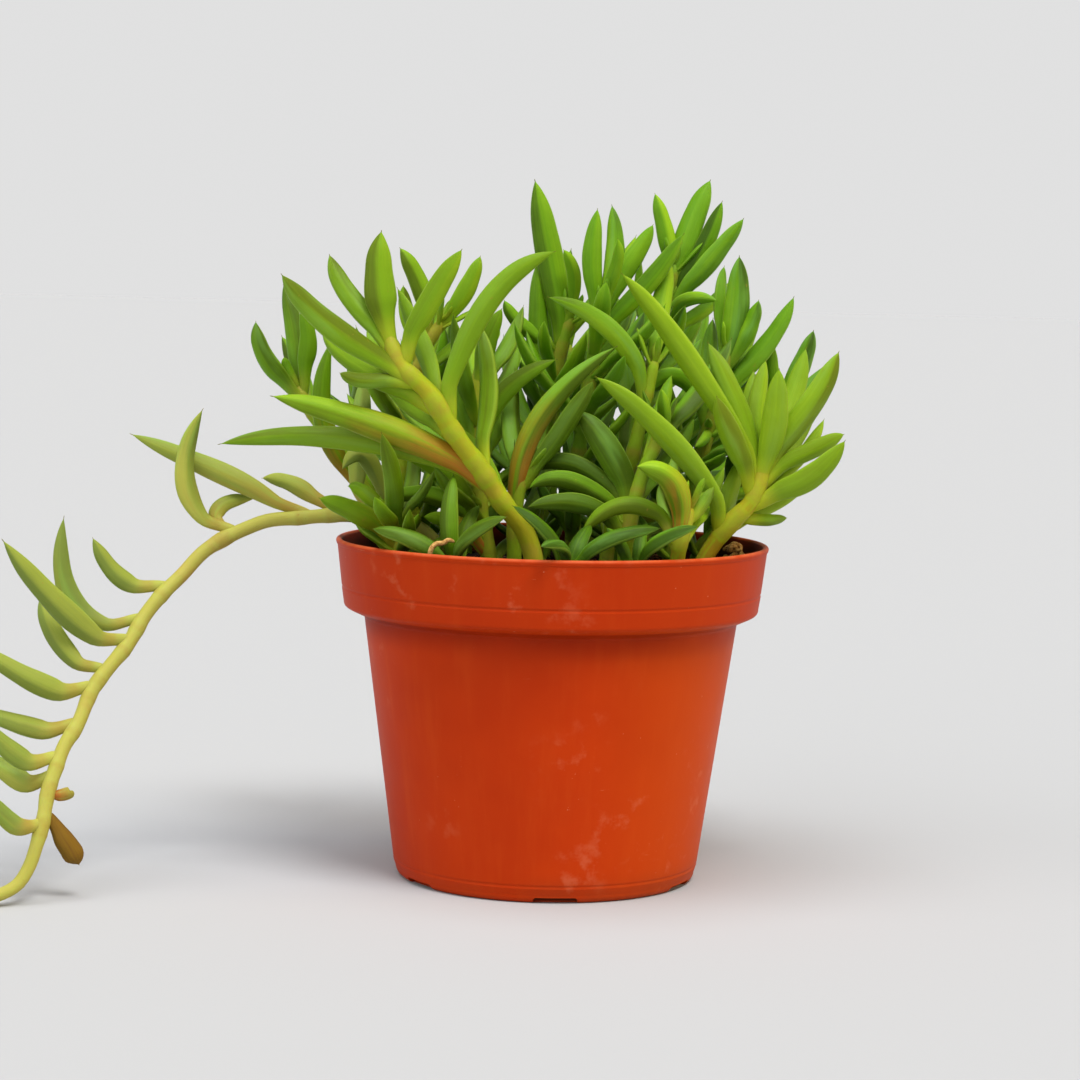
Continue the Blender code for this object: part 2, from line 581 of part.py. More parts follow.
def pot_profile():
    """The pot's wall: down the outside from the inner floor over the lip to the foot."""
    lip = arc((LIP_RADIUS - 0.7, POT_HEIGHT - 0.7), 0.7, 150, -30, 4)
    foot_centre = (FOOT_RADIUS - FOOT_ROUNDING, FOOT_ROUNDING)
    foot = arc(foot_centre, FOOT_ROUNDING, 0, -90, 3)
    inside = [(0.0, FLOOR_THICKNESS)] + INNER_WALL[:-1]
    band_corner = (BAND_FOOT[0] - 0.6, BAND_FOOT[1] - 0.7)
    outside = [(BAND_TOP_RADIUS, POT_HEIGHT - 1.6), BAND_FOOT, band_corner, BODY_TOP, BODY_FOOT]
    return inside + lip + outside + foot + [(0.0, 0.0)]


def make_pot(collection, cutters):
    pot = turned_piece("pot", pot_profile(), POT_STEPS, collection)
    slots = bpy.data.collections.new("drain_slot_cutters")
    cutters.children.link(slots)
    for i in range(SLOT_COUNT):
        angle = math.radians(SLOT_START + 360.0 / SLOT_COUNT * i)
        shape = bmesh.new()
        bmesh.ops.create_cube(shape, size=1.0)
        mesh = bpy.data.meshes.new("drain_slot_cutter")
        bmesh.ops.scale(shape, vec=Vector(SLOT_SIZE) * MM, verts=shape.verts)
        shape.to_mesh(mesh)
        shape.free()
        cutter = add_object(f"drain_slot_cutter_{i + 1}", mesh, slots)
        cutter.location = (SLOT_RADIUS * math.cos(angle) * MM, SLOT_RADIUS * math.sin(angle) * MM, 0.0)
        cutter.rotation_euler = (0.0, 0.0, angle)
        hide_cutter(cutter)
    cut(pot, slots)
    pot.data.materials.append(plain_material("pot", POT_COLOUR, 0.42))
    return pot


def hide_cutter(cutter):
    cutter.hide_render = True
    cutter.display_type = "WIRE"


def cut(piece, collection):
    boolean = piece.modifiers.new("cut", "BOOLEAN")
    boolean.operation = "DIFFERENCE"
    boolean.operand_type = "COLLECTION"
    boolean.collection = collection
    boolean.solver = "EXACT"


def make_soil(plant, collection, cutters):
    """The potting mix: it fills the pot, with low mounds on top and a plain hole for each stem."""
    side = [(radius - SOIL_CLEAR, height + GAP) for radius, height in INNER_WALL]
    edge = inner_radius(SOIL_TOP) - SOIL_CLEAR
    top = [(radius, SOIL_TOP) for radius in SOIL_RINGS] + [(edge, SOIL_TOP)]
    profile = top + [point for point in reversed(side) if point[1] < SOIL_TOP - 1] + [(0.0, side[0][1])]
    soil = turned_piece("soil", profile, SOIL_STEPS, collection)
    mesh = evaluated_mesh(soil)
    soil.modifiers.clear()
    soil.data = mesh
    for vertex in mesh.vertices:
        x, y, z = vertex.co / MM
        if z > SOIL_TOP - 0.1:
            vertex.co.z = soil_height(x, y) * MM
    holes = bpy.data.collections.new("stem_hole_cutters")
    cutters.children.link(holes)
    for name, route in plant.routes.items():
        foot = route[0]
        shape = bmesh.new()
        radius = (plant.radii[name] + HOLE_CLEAR) * MM
        bmesh.ops.create_cone(shape, cap_ends=True, segments=HOLE_SIDES, radius1=radius, radius2=radius,
                              depth=2 * HOLE_DEPTH * MM)
        mesh = bpy.data.meshes.new("stem_hole_cutter")
        shape.to_mesh(mesh)
        shape.free()
        cutter = add_object(f"hole_cutter_{name}", mesh, holes)
        cutter.location = (foot.x * MM, foot.y * MM, SOIL_TOP * MM)
        hide_cutter(cutter)
    cut(soil, holes)
    soil.data.materials.append(plain_material("soil", SOIL_COLOUR, 0.95))
    return soil


def leaf_mesh(curve, width, facing, foot):
    """A leaf: a sphere drawn out along the curve, flattened, with a narrower foot and a pointed tip."""
    shape = bmesh.new()
    rings = len(LEAF_STATIONS) - 1
    bmesh.ops.create_uvsphere(shape, u_segments=LEAF_SIDES, v_segments=rings, radius=1.0)
    for vertex in shape.verts:
        ring = round((1 - math.acos(max(-1.0, min(1.0, vertex.co.z))) / math.pi) * rings)
        t = LEAF_STATIONS[ring]
        around = Vector((vertex.co.x, vertex.co.y))
        tangent = curve_tangent(curve, t)
        across = facing.cross(tangent).normalized()
        front = tangent.cross(across)
        place = curve_point(curve, t)
        if 0 < ring < rings:
            around.normalize()
            half = 0.5 * width * leaf_swell(t, foot)
            place = place + across * (half * around.x) + front * (LEAF_THICKNESS * half * around.y)
        vertex.co = place * MM
    mesh = bpy.data.meshes.new("leaf")
    shape.to_mesh(mesh)
    shape.free()
    return mesh


def stem_mesh(route, radius):
    """A round tapering stem along a route."""
    curve = bpy.data.curves.new("stem", "CURVE")
    curve.dimensions = "3D"
    curve.bevel_depth = radius * MM
    curve.bevel_resolution = STEM_SIDES_LEVEL
    curve.use_fill_caps = True
    spline = curve.splines.new("POLY")
    spline.points.add(len(route) - 1)
    for i, (point, place) in enumerate(zip(spline.points, route)):
        point.co = (*(place * MM), 1.0)
        past = max(0.0, i / (len(route) - 1) - 0.5) * 2
        point.radius = 1.0 - (1.0 - STEM_TIP_RADIUS / radius) * past**2
    tube = bpy.data.objects.new("stem", curve)
    bpy.context.scene.collection.objects.link(tube)
    mesh = evaluated_mesh(tube)
    bpy.data.objects.remove(tube)
    weld(mesh, 0.000002)
    return mesh


def make_leafy_stem(name, plant, colour, collection):
    """A stem with its own leaves, joined into one solid."""
    piece = add_object(name, stem_mesh(plant.routes[name], plant.radii[name]), collection)
    leaves = bpy.data.collections.new("leaves_of_" + name)
    bpy.context.scene.collection.children.link(leaves)
    for i, (curve, width, facing) in enumerate(plant.leaves[name]):
        add_object(f"{name}_leaf_{i + 1}", leaf_mesh(curve, width, facing, leaf_foot(name)), leaves)
    union = piece.modifiers.new("leaves", "BOOLEAN")
    union.operation = "UNION"
    union.operand_type = "COLLECTION"
    union.collection = leaves
    union.solver = "EXACT"
    joined = evaluated_mesh(piece)
    piece.modifiers.clear()
    piece.data = joined
    for item in list(leaves.objects):
        bpy.data.objects.remove(item)
    bpy.data.collections.remove(leaves)
    joined.materials.clear()
    joined.materials.append(plain_material(name, colour, 0.4))
    return piece


def shade(piece):
    piece.data.shade_smooth()
    piece.data.set_sharp_from_angle(angle=math.radians(35))


def build():
    for item in list(bpy.data.objects):
        bpy.data.objects.remove(item)
    collection = bpy.data.collections.new(OBJECT_NAME)
    bpy.context.scene.collection.children.link(collection)
    cutters = bpy.data.collections.new("cutters")
    bpy.context.scene.collection.children.link(cutters)
    plant = grow_plant()
    pieces = [make_pot(collection, cutters), make_soil(plant, collection, cutters)]
    for stem in STEMS:
        pieces.append(make_leafy_stem(stem.name, plant, LEAF_COLOUR, collection))
    pieces.append(make_leafy_stem(TRAIL_NAME, plant, TRAIL_COLOUR, collection))
    for piece in pieces:
        shade(piece)
    return plant


build()
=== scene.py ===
"""The looks of a potted string of fishhooks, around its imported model.

The plant is grown by the tables and rules of its solids, so every finer leaf lies where its solid lies.
Lengths are in millimetres in the tables and are turned into metres when a mesh is made.
"""

import math
import random
from collections import namedtuple
from itertools import product

import bmesh
import bpy
import numpy as np
from mathutils import Matrix, Vector, noise


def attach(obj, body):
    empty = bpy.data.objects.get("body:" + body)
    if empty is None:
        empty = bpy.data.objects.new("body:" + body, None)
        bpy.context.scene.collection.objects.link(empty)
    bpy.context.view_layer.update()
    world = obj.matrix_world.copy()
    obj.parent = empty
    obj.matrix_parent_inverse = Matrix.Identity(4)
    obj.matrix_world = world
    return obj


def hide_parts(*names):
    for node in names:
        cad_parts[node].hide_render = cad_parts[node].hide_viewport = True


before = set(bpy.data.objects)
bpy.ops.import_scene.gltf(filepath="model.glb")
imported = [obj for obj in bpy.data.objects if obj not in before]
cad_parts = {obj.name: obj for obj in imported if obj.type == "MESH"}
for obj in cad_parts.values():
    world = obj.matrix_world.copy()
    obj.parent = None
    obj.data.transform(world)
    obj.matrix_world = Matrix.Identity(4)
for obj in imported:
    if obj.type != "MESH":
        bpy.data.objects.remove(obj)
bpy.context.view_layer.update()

MM = 0.001
GAP = 0.3                      # air between two pieces that touch
BODY = "root"

# Pot: half sections as (radius, height)
POT_HEIGHT = 82.0
LIP_RADIUS = 52.5
INNER_WALL = [(35.2, 1.0), (36.0, 2.6), (44.3, 63.4), (49.2, 66.3), (51.1, 81.2)]
POT_STEPS = 192
POT_RUN = 3.0                  # the longest run of the wall between two rings
POT_HOLD = 0.15                # how close to a bend the ring lies that keeps its face flat
LIP_BEAD = (51.8, 81.3, 0.7)   # centre radius, height and the bead's own radius
LIP_LINE = [(52.36, 80.75), (52.12, 80.45), (52.1, 80.2)]
COLLAR_STEP = [(51.0, 70.75), (50.8, 70.5), (50.78, 70.2), (50.92, 69.9)]
COLLAR_FOOT = [(50.45, 66.7), (50.4, 66.2), (50.22, 65.75), (49.85, 65.4), (49.3, 65.1)]
SHOULDER = [(46.2, 63.7), (45.6, 63.35), (45.32, 62.8)]
SCORE_LINE = [(37.31, 4.5), (37.12, 4.25), (37.1, 3.95), (37.2, 3.6)]
FOOT_RADIUS = 36.6
FOOT_ROUNDING = 1.8
SLOT_COUNT = 6
SLOT_START = 34.0
SLOT_SIZE = (7.0, 10.5, 2.8)
SLOT_RADIUS = 37.6
WARP = 0.16                    # how far the thin wall strays from round

# Soil
SOIL_TOP = 74.3
SOIL_CLEAR = 0.4
HOLE_DEPTH = 12.0
SOIL_STEPS = 168
SOIL_RINGS = 46
CRUMB_COUNT = 1500
FIBRE_COUNT = 90
CHIP_COUNT = 80
RIM_ROOT = [(-27.0, -38.0, 74.5), (-27.9, -39.4, 79.0), (-28.1, -39.9, 82.2), (-26.9, -39.6, 83.9),
            (-25.2, -39.4, 84.2), (-23.9, -39.0, 84.9), (-22.6, -38.8, 84.4)]
RIM_ROOT_RADIUS = 0.6
TUFT_PLACE = Vector((44.6, 6.0, 75.6))   # dried shreds inside the rim
TUFT_REACH = 1.5
TUFT_HIGH = 5.2
TUFT_SHREDS = 34

# Where the plant is looked at from: the tables give points in the plane y = 0 as they look from here
EYE = Vector((-3.0, -680.0, 141.0))

# Stems
STEM_RADIUS = 1.75
THICK_STEMS = {"stem_left_leader": 2.3, "stem_right_front": 2.0}
STEM_TIP_RADIUS = 1.0
STEM_STEP = 9.0
SMOOTH_RUNS = 12
STEM_SIDES_LEVEL = 1

# Leaves
LEAF_SIDES = 5
LEAF_STATIONS = [0.0, 0.1, 0.31, 0.55, 0.8, 1.0]
LEAF_THICKNESS = 0.6           # of the width
LEAF_WIDEST = 0.46             # of the length
LEAF_FOOT = 0.64               # width of a leaf's foot as a share of its full width
PETIOLE = 0.36                 # the same for the trailing stem's leaves, which narrow to a stalk
LEAF_TWIST = 0.4               # radians, the most that a leaf turns about its own line
CHECK_POINTS = 14
PUSHES = [0, 3, -3, 6, -6, 9, -9, 12, -12, 16, -16]
LEAF_SPREAD = 6.0              # how far a tip may lie nearer or further than its row says

# Filler leaves, which follow the golden angle up a stem
GOLDEN_ANGLE = math.radians(137.5)
FILLER_START = 8.0
FILLER_LENGTH = (29.0, 41.0)
FILLER_WIDTH = (4.4, 5.9)
FILLER_RISE = (0.55, 1.15)
FILLER_HOOK = 0.17
LOW_RISE = (0.5, 0.65)         # for the short stems behind the front rim, whose leaves arch over
LOW_HOOK = -0.24
FILLER_TURNS = [0.0, 0.35, -0.35, 0.7, -0.7, 1.05, -1.05]
FILLER_SHRINKS = [1.0, 0.75]
FILLER_FAN = 0.4               # how much of the full turn is used where the fillers keep to one side

# The outline of the foliage from the front, which every filler leaf's tip keeps inside
CROWN_TOP = [(-75, 120), (-68, 134), (-55, 140), (-44, 146), (-30, 144), (-12, 138), (-6, 152),
             (8, 155), (30, 158), (46, 150), (58, 136), (70, 122), (74, 110)]
CROWN_FOOT = [(-75, 120), (-52, 113), (-49, 0), (52, 0), (56, 93), (74, 110)]

# A leaf runs from a point by its stem over a middle point to its tip, all as seen; its tip lies `back` mm
# behind its base
Leaf = namedtuple("Leaf", "base via tip width back")
Stem = namedtuple("Stem", "name foot route leaves fillers facing size rise hook",
                  defaults=(1.0, FILLER_RISE, FILLER_HOOK))


# Each stem: its foot in the soil as (x, y), its route as seen (x, z) with the depth y, its own leaves,
# how many filler leaves it gets, the middle of the half circle they keep to, in degrees (None: all round),
# and, where they differ, the size of its filler leaves, how steeply they rise at its foot and its tip, and
# how far they hook up (or, below zero, arch over)
STEMS = [
    Stem("stem_left_leader", (-4.0, -25.0),
         [(-7, 84.5, -26), (-12, 90.5, -28), (-18, 99, -30), (-24.5, 107.5, -32), (-31, 117.5, -33),
          (-38, 124, -33), (-41, 131.5, -32)],
         [Leaf((-18, 96), (-42, 108.5), (-69, 115.5), 7.0, -9),
          Leaf((-19, 95), (-50, 105.5), (-81.5, 103.5), 5.4, 3),
          Leaf((-41, 130), (-43.3, 142), (-43, 156), 7.4, -3),
          Leaf((-40.5, 127), (-49.5, 139), (-55.5, 150), 5.0, 5),
          Leaf((-37, 121), (-54.5, 132.5), (-67, 145), 6.0, -6),
          Leaf((-33, 113), (-46, 121.5), (-57, 131), 5.0, 6),
          Leaf((-38, 127), (-30.5, 140), (-23.5, 152), 5.4, -5),
          Leaf((-28.5, 112), (-17.5, 138.5), (-1, 152), 5.4, -6),
          Leaf((-37, 119), (-46, 120), (-52.5, 121.5), 3.6, 2)], 7, 105),
    Stem("stem_left_inner", (-30.0, 6.0),
         [(-34, 87, 6), (-36.5, 95, 7), (-36.5, 106, 8), (-35.5, 117, 8), (-32, 127, 7), (-28, 135, 6)],
         [Leaf((-29, 131), (-33.5, 143), (-38.5, 152), 5.0, 3),
          Leaf((-32, 126), (-36, 135), (-37.5, 143), 4.0, -2),
          Leaf((-28, 132), (-22.5, 142), (-19, 150.5), 4.8, -2)], 9, 80),
    Stem("stem_left_back", (-36.0, 16.5),
         [(-42, 88, 17), (-47, 95, 18), (-54, 105, 20), (-60, 113, 21), (-63, 119, 22)],
         [Leaf((-61, 116), (-70, 124), (-73, 133.5), 5.0, -2),
          Leaf((-62.5, 118), (-63.5, 130), (-66.5, 142.5), 5.0, 1),
          Leaf((-62, 118), (-60.5, 127.5), (-62, 137.5), 4.6, -4),
          Leaf((-63, 119), (-65, 122), (-66, 125), 2.6, -3),
          Leaf((-47, 94), (-56, 109), (-54.5, 129.5), 5.2, -5),
          Leaf((-44.5, 91), (-47.5, 103), (-47, 117.5), 4.6, 3)], 6, 60),
    Stem("stem_rim_left", (-36.0, -15.0),
         [(-38, 84, -15), (-40, 88, -15)],
         [Leaf((-37, 82), (-47.5, 87.5), (-57, 91), 5.4, -7),
          Leaf((-38, 84), (-45, 92), (-50, 94), 4.0, 1)], 3, 270, 0.6, (0.2, 0.5)),
    Stem("stem_mid_left", (-15.0, -11.0),
         [(-17.5, 88, -11), (-18.5, 97, -10), (-19, 108, -9), (-19, 119, -8), (-18, 128, -7)],
         [Leaf((-17, 85), (-30, 100.5), (-45, 104.5), 5.4, -6),
          Leaf((-17, 84), (-29, 92), (-42, 90), 4.6, -4),
          Leaf((-16, 81), (-24, 85.5), (-31.5, 87), 4.2, -14),
          Leaf((-18, 102), (-13, 117), (0, 126), 4.8, -6),
          Leaf((-19, 105), (-22.7, 114), (-22.7, 123), 4.0, -5),
          Leaf((-19, 119), (-17, 129), (-13.5, 138), 4.8, -3)], 8, 90),
    Stem("stem_centre_tall", (-4.0, 14.0),
         [(-4, 90, 14), (-3, 101, 13), (-1, 117, 12), (1.5, 130, 11), (3.5, 137, 10)],
         [Leaf((2, 130), (-2, 150), (-6.3, 169), 7.0, 2),
          Leaf((-2, 116), (-4.5, 133), (-5, 150), 5.2, -5),
          Leaf((0, 128), (-8.5, 134), (-13, 140), 3.8, 3),
          Leaf((3.5, 137), (3.5, 146), (1, 152.5), 3.6, -3)], 7, 90),
    Stem("stem_centre", (5.0, 3.0),
         [(5, 92, 3), (6, 105, 3), (8, 121, 2), (9.5, 133, 1), (10, 140, 1)],
         [Leaf((9.7, 138), (8.2, 150), (9.0, 162.5), 5.0, -1),
          Leaf((10, 138), (13.4, 150), (12.4, 163.5), 5.0, 3),
          Leaf((10, 138), (13.5, 147), (14, 155.5), 3.4, -4),
          Leaf((10, 136), (17, 149), (22.5, 159), 5.0, -2),
          Leaf((9.5, 132), (21, 144.5), (30, 157), 5.0, 4)], 7, None),
    Stem("stem_right_tall", (16.0, 21.0),
         [(17, 92, 20), (19, 106, 18), (22.5, 121, 16), (25.5, 135, 14), (27, 143, 14), (28, 150, 14)],
         [Leaf((27.5, 147), (25.5, 157), (22.7, 166.5), 4.6, 2),
          Leaf((27.5, 145), (31.5, 158.5), (36, 170), 6.3, -1),
          Leaf((26.5, 138), (34, 152.5), (39, 165), 4.8, 3),
          Leaf((27, 141), (36.5, 150.5), (44.3, 161), 4.9, -3),
          Leaf((26, 136.5), (31, 141), (38.5, 141), 3.6, -5),
          Leaf((25.5, 134), (35, 138.5), (41, 145.5), 3.8, 2)], 7, 90),
    Stem("stem_right_upper", (29.0, 8.0),
         [(31, 90, 8), (34, 99, 6), (37.5, 111, 4), (40, 122, 3), (41.5, 130, 3)],
         [Leaf((41, 125), (43, 139), (43.5, 152), 6.3, -2),
          Leaf((41, 126), (46, 133.5), (48.5, 141.5), 4.8, 3),
          Leaf((40, 119), (50, 129.5), (57, 142.5), 5.0, 2),
          Leaf((38, 113), (28.5, 122.5), (19.5, 116), 4.4, -6),
          Leaf((37.5, 112), (36.5, 108), (34, 105.5), 2.6, -7)], 7, 60),
    Stem("stem_right_back", (36.0, 17.0),
         [(42, 88, 17), (47, 97, 16), (52, 108, 15), (55, 116, 15)],
         [Leaf((53, 112), (58.5, 124), (62, 134.5), 5.3, 2),
          Leaf((54, 114), (52, 122.5), (52.5, 131), 4.6, -3)], 7, 60),
    Stem("stem_right_front", (35.0, -17.0),
         [(40, 83, -18), (44, 88, -19), (48.5, 93, -20), (50, 97, -20), (51, 104, -20)],
         [Leaf((50.5, 101), (61, 115.5), (68.3, 129.5), 6.2, -1),
          Leaf((50.5, 99), (62, 105.5), (70.2, 109.5), 4.5, 6),
          Leaf((49, 94), (61.5, 98.5), (70.5, 108), 6.0, -5),
          Leaf((50, 100), (31.5, 127.5), (15.3, 147), 5.8, -3),
          Leaf((50, 98), (44, 115), (36.5, 131), 5.8, -5),
          Leaf((49.5, 96), (43, 107.5), (39, 118), 5.6, -10),
          Leaf((50.5, 99), (53, 112), (54, 125), 6.2, -6),
          Leaf((50.5, 102), (49, 115), (50.7, 127), 4.8, 4),
          Leaf((46, 90), (52, 88.5), (57, 88.8), 3.0, 3),
          Leaf((43.5, 87), (28, 107.5), (9.5, 122), 5.8, -8)], 8, 40),
    Stem("stem_front_right", (29.0, -27.0),
         [(31.5, 84, -29), (32.5, 88, -28), (33.5, 92, -27)],
         [Leaf((31.5, 84), (29, 96), (20, 100.5), 6.2, -6),
          Leaf((32.5, 88), (36, 91.5), (39, 96), 3.4, 4),
          Leaf((31.5, 85), (18, 91), (7, 83.5), 4.4, -5)], 4, 60, 0.8),
    Stem("stem_front_centre", (17.0, -19.0),
         [(18.5, 86, -20), (19.7, 92, -20), (22, 100, -19), (25, 107, -18), (26, 112, -18)],
         [Leaf((19.7, 91), (13.5, 104), (5, 113.5), 6.8, -2),
          Leaf((19, 89), (5, 100.5), (-7, 98.5), 4.6, 3),
          Leaf((18.5, 87), (5, 96.5), (-6, 94.5), 4.6, -3),
          Leaf((18, 84), (6, 91), (-6, 90), 4.8, -9),
          Leaf((25, 108), (26.5, 113), (25.5, 119.5), 3.6, -2)], 6, 60),
    Stem("stem_front_left", (-9.0, -17.0),
         [(-9, 88, -18), (-8.5, 93, -18), (-7, 100, -17)],
         [Leaf((-9, 86), (-4.5, 110), (14.5, 129.5), 5.4, -5),
          Leaf((-7.5, 97), (2.5, 110), (9, 121), 4.8, 2)], 6, 100),
    Stem("stem_centre_front", (13.0, -6.0),
         [(15, 89, -6), (18, 99, -7), (20.5, 110, -8), (22.5, 120, -8), (24, 127, -8)],
         [Leaf((22.5, 118), (13.5, 133), (-2.5, 141), 4.8, -6)], 9, 60),
    Stem("stem_back_left", (-22.0, 30.0),
         [(-25, 90, 31), (-29, 101, 34), (-32, 113, 37), (-34, 121, 39)], [], 11, None),
    Stem("stem_back_centre", (-2.0, 35.0),
         [(-1, 92, 36), (0, 106, 39), (2, 120, 42), (3, 130, 44)], [], 10, None),
    Stem("stem_back_right", (21.0, 34.0),
         [(25, 92, 36), (30, 104, 39), (35, 116, 43), (38, 124, 46)], [], 10, None),
    Stem("stem_back_low", (9.0, 39.0),
         [(12, 89, 45), (14, 95, 54), (15, 98, 62)], [], 9, 90),
    Stem("stem_front_low_left", (-22.0, -32.0), [(-24, 75.0, -34)], [], 5, None, 0.72, LOW_RISE, LOW_HOOK),
    Stem("stem_front_low_middle", (3.0, -38.5), [(4, 75.0, -40)], [], 5, None, 0.72, LOW_RISE, LOW_HOOK),
    Stem("stem_front_low_right", (19.0, -35.0), [(20, 75.0, -37)], [], 4, None, 0.65, LOW_RISE, LOW_HOOK),
]

# The trailing stem arches over the rim and then lies on the surface
TRAIL_NAME = "stem_trailing"
TRAIL_FOOT = (-26.0, -3.0)
TRAIL_RADIUS = 1.7
TRAIL_STEP = 7.5
TRAIL_ROUTE = [(-32, 84, -3), (-40, 86.5, -2), (-51, 87, -1), (-62, 86, -2), (-70, 85, -3),
               (-75, 83, -4), (-80, 80.5, -6), (-84.5, 77.5, -8), (-90.5, 71, -12), (-94.5, 67, -15),
               (-98.5, 62, -18), (-103.5, 53.5, -23), (-107.5, 48.5, -26), (-111.5, 43, -29),
               (-115.5, 33.5, -34), (-118.5, 28.5, -37), (-120.5, 23, -40), (-122.5, 16.5, -43),
               (-123.5, 10, -45.5), (-125, 4, -47.5), (-127, -2, -49), (-129.5, -6, -50.5)]
TRAIL_ON_SURFACE = [(-124.5, -53.0, 2.6), (-130.0, -54.5, 1.8), (-137.5, -55.5, 1.8),
                    (-146.0, -55.5, 1.8), (-154.0, -53.5, 1.8)]
TRAIL_LEAVES = [
    Leaf((-62, 85), (-80, 96), (-103, 105.5), 4.9, -3),
    Leaf((-80.5, 81), (-89.5, 94), (-85.5, 112), 4.8, 3),
    Leaf((-82, 80), (-81, 88), (-72.5, 90.5), 3.6, 6),
    Leaf((-96, 66.5), (-105.5, 71), (-112, 80), 4.2, -5),
    Leaf((-101.5, 58), (-117, 65), (-119, 85), 4.8, 8),
    Leaf((-104, 52.5), (-118.5, 61.5), (-134, 79), 5.6, -6),
    Leaf((-111.5, 46), (-120, 54.5), (-124.5, 65.5), 4.6, 7),
    Leaf((-114.5, 41.5), (-124, 43.5), (-142, 54), 5.0, -7),
    Leaf((-117, 32), (-126.5, 33), (-143, 38), 4.6, 7),
    Leaf((-122, 24), (-130, 26), (-141, 36), 4.6, -6),
    Leaf((-123, 19), (-129.5, 20), (-142, 29), 4.6, 8),
    Leaf((-124.5, 7), (-130, 8), (-139, 18), 4.4, -7),
    Leaf((-119.5, 15), (-118, 16), (-116.5, 17.5), 2.8, 0),
    Leaf((-123, 9), (-118, 5), (-114.5, -1), 4.4, -2),
    Leaf((-47.5, 87), (-47.5, 105), (-46.5, 121), 5.0, 4),
    Leaf((-39, 86), (-45.5, 100.5), (-51.5, 98), 4.0, -5),
    Leaf((-54.5, 87), (-62, 93.5), (-71, 95.5), 4.0, 8),
]
# Leaves on the stretch that lies: the place along the stem in mm from its end, heading in degrees from +X,
# rise of the tip in mm, length and width
TRAIL_LYING_LEAVES = [(27.0, 222.0, 15.0, 30.0, 4.6), (20.0, 140.0, 16.0, 30.0, 4.6),
                      (13.0, 215.0, 14.0, 25.0, 4.4), (7.0, 148.0, 13.0, 22.0, 4.0),
                      (1.5, 200.0, 8.0, 17.0, 3.6), (1.0, 170.0, 12.0, 14.0, 3.2)]

# The finer mesh of stems and leaves
FINE_STEP = 1.5
STEM_RING = 16
LEAF_RING = 20
LEAF_RINGS = 34
FINE_TIP = 0.74                # the radius at the end of a fine stem, as a share of its radius
NODE_SWELL = 0.13
BARE_STEMS = ["stem_left_leader", "stem_right_front", "stem_left_back", "stem_front_low_left",
              "stem_front_low_middle", "stem_front_low_right", TRAIL_NAME]
FRONT_STEMS = ["stem_front_right", "stem_front_centre", "stem_front_left", "stem_centre_front"]
YOUNG_TRIES = 9
YOUNG_LENGTH = (22.0, 34.0)
YOUNG_WIDTH = (4.2, 5.4)
YOUNG_SHRINKS = [1.0, 0.75, 0.55]
FLARE = 0.2
FLARE_REACH = 2.2
FOOT_RUN = 7.5                 # how far a leaf's foot is drawn down along the stem, and by how much
RUN_DOWN = 3.2
TIP_FULLNESS = 0.28
TRAIL_FULLNESS = 1.1
MUCRO = 0.983                  # where the hard point of a leaf sets in
DRIED_BLUNT = 0.42             # how much fuller the end of a dried leaf is, and how deep its creases are
DRIED_CREASE = 0.07

# How a leaf or a stem looks: tone from -1 (dark, bluish) to 1 (bright), red flush and dryness from 0 to 1
Look = namedtuple("Look", "tone flush dry", defaults=(0.0, 0.0))
# The dark tones of the stems at the front and low by the rim are partly painted shade from the crown above them.
STEM_LOOKS = {
    "stem_left_leader": Look(0.0, 0.15), "stem_left_inner": Look(0.0), "stem_left_back": Look(-0.3),
    "stem_rim_left": Look(-0.15), "stem_mid_left": Look(-0.3), "stem_centre_tall": Look(0.05),
    "stem_centre": Look(0.1), "stem_right_tall": Look(0.15), "stem_right_upper": Look(0.05),
    "stem_right_back": Look(-0.1), "stem_right_front": Look(0.15), "stem_front_right": Look(0.0, 0.2),
    "stem_front_centre": Look(-0.8), "stem_front_left": Look(-0.6, 0.05), "stem_centre_front": Look(-0.3),
    "stem_back_left": Look(-0.2), "stem_back_centre": Look(-0.1), "stem_back_right": Look(-0.1),
    "stem_back_low": Look(-0.3), "stem_front_low_left": Look(-0.7), "stem_front_low_middle": Look(-0.8),
    "stem_front_low_right": Look(-0.6), TRAIL_NAME: Look(-0.1),
}
YELLOW_STEMS = {"stem_left_leader": 0.75, "stem_right_front": 1.0, "stem_front_right": 0.7,
                "stem_left_inner": 0.6, "stem_left_back": 0.35, "stem_rim_left": 0.6, "stem_mid_left": 0.5,
                "stem_centre_front": 0.4, "stem_centre_tall": 0.25, "stem_front_centre": 0.3,
                "stem_front_left": 0.4, "stem_front_low_left": 0.35, TRAIL_NAME: 1.0}
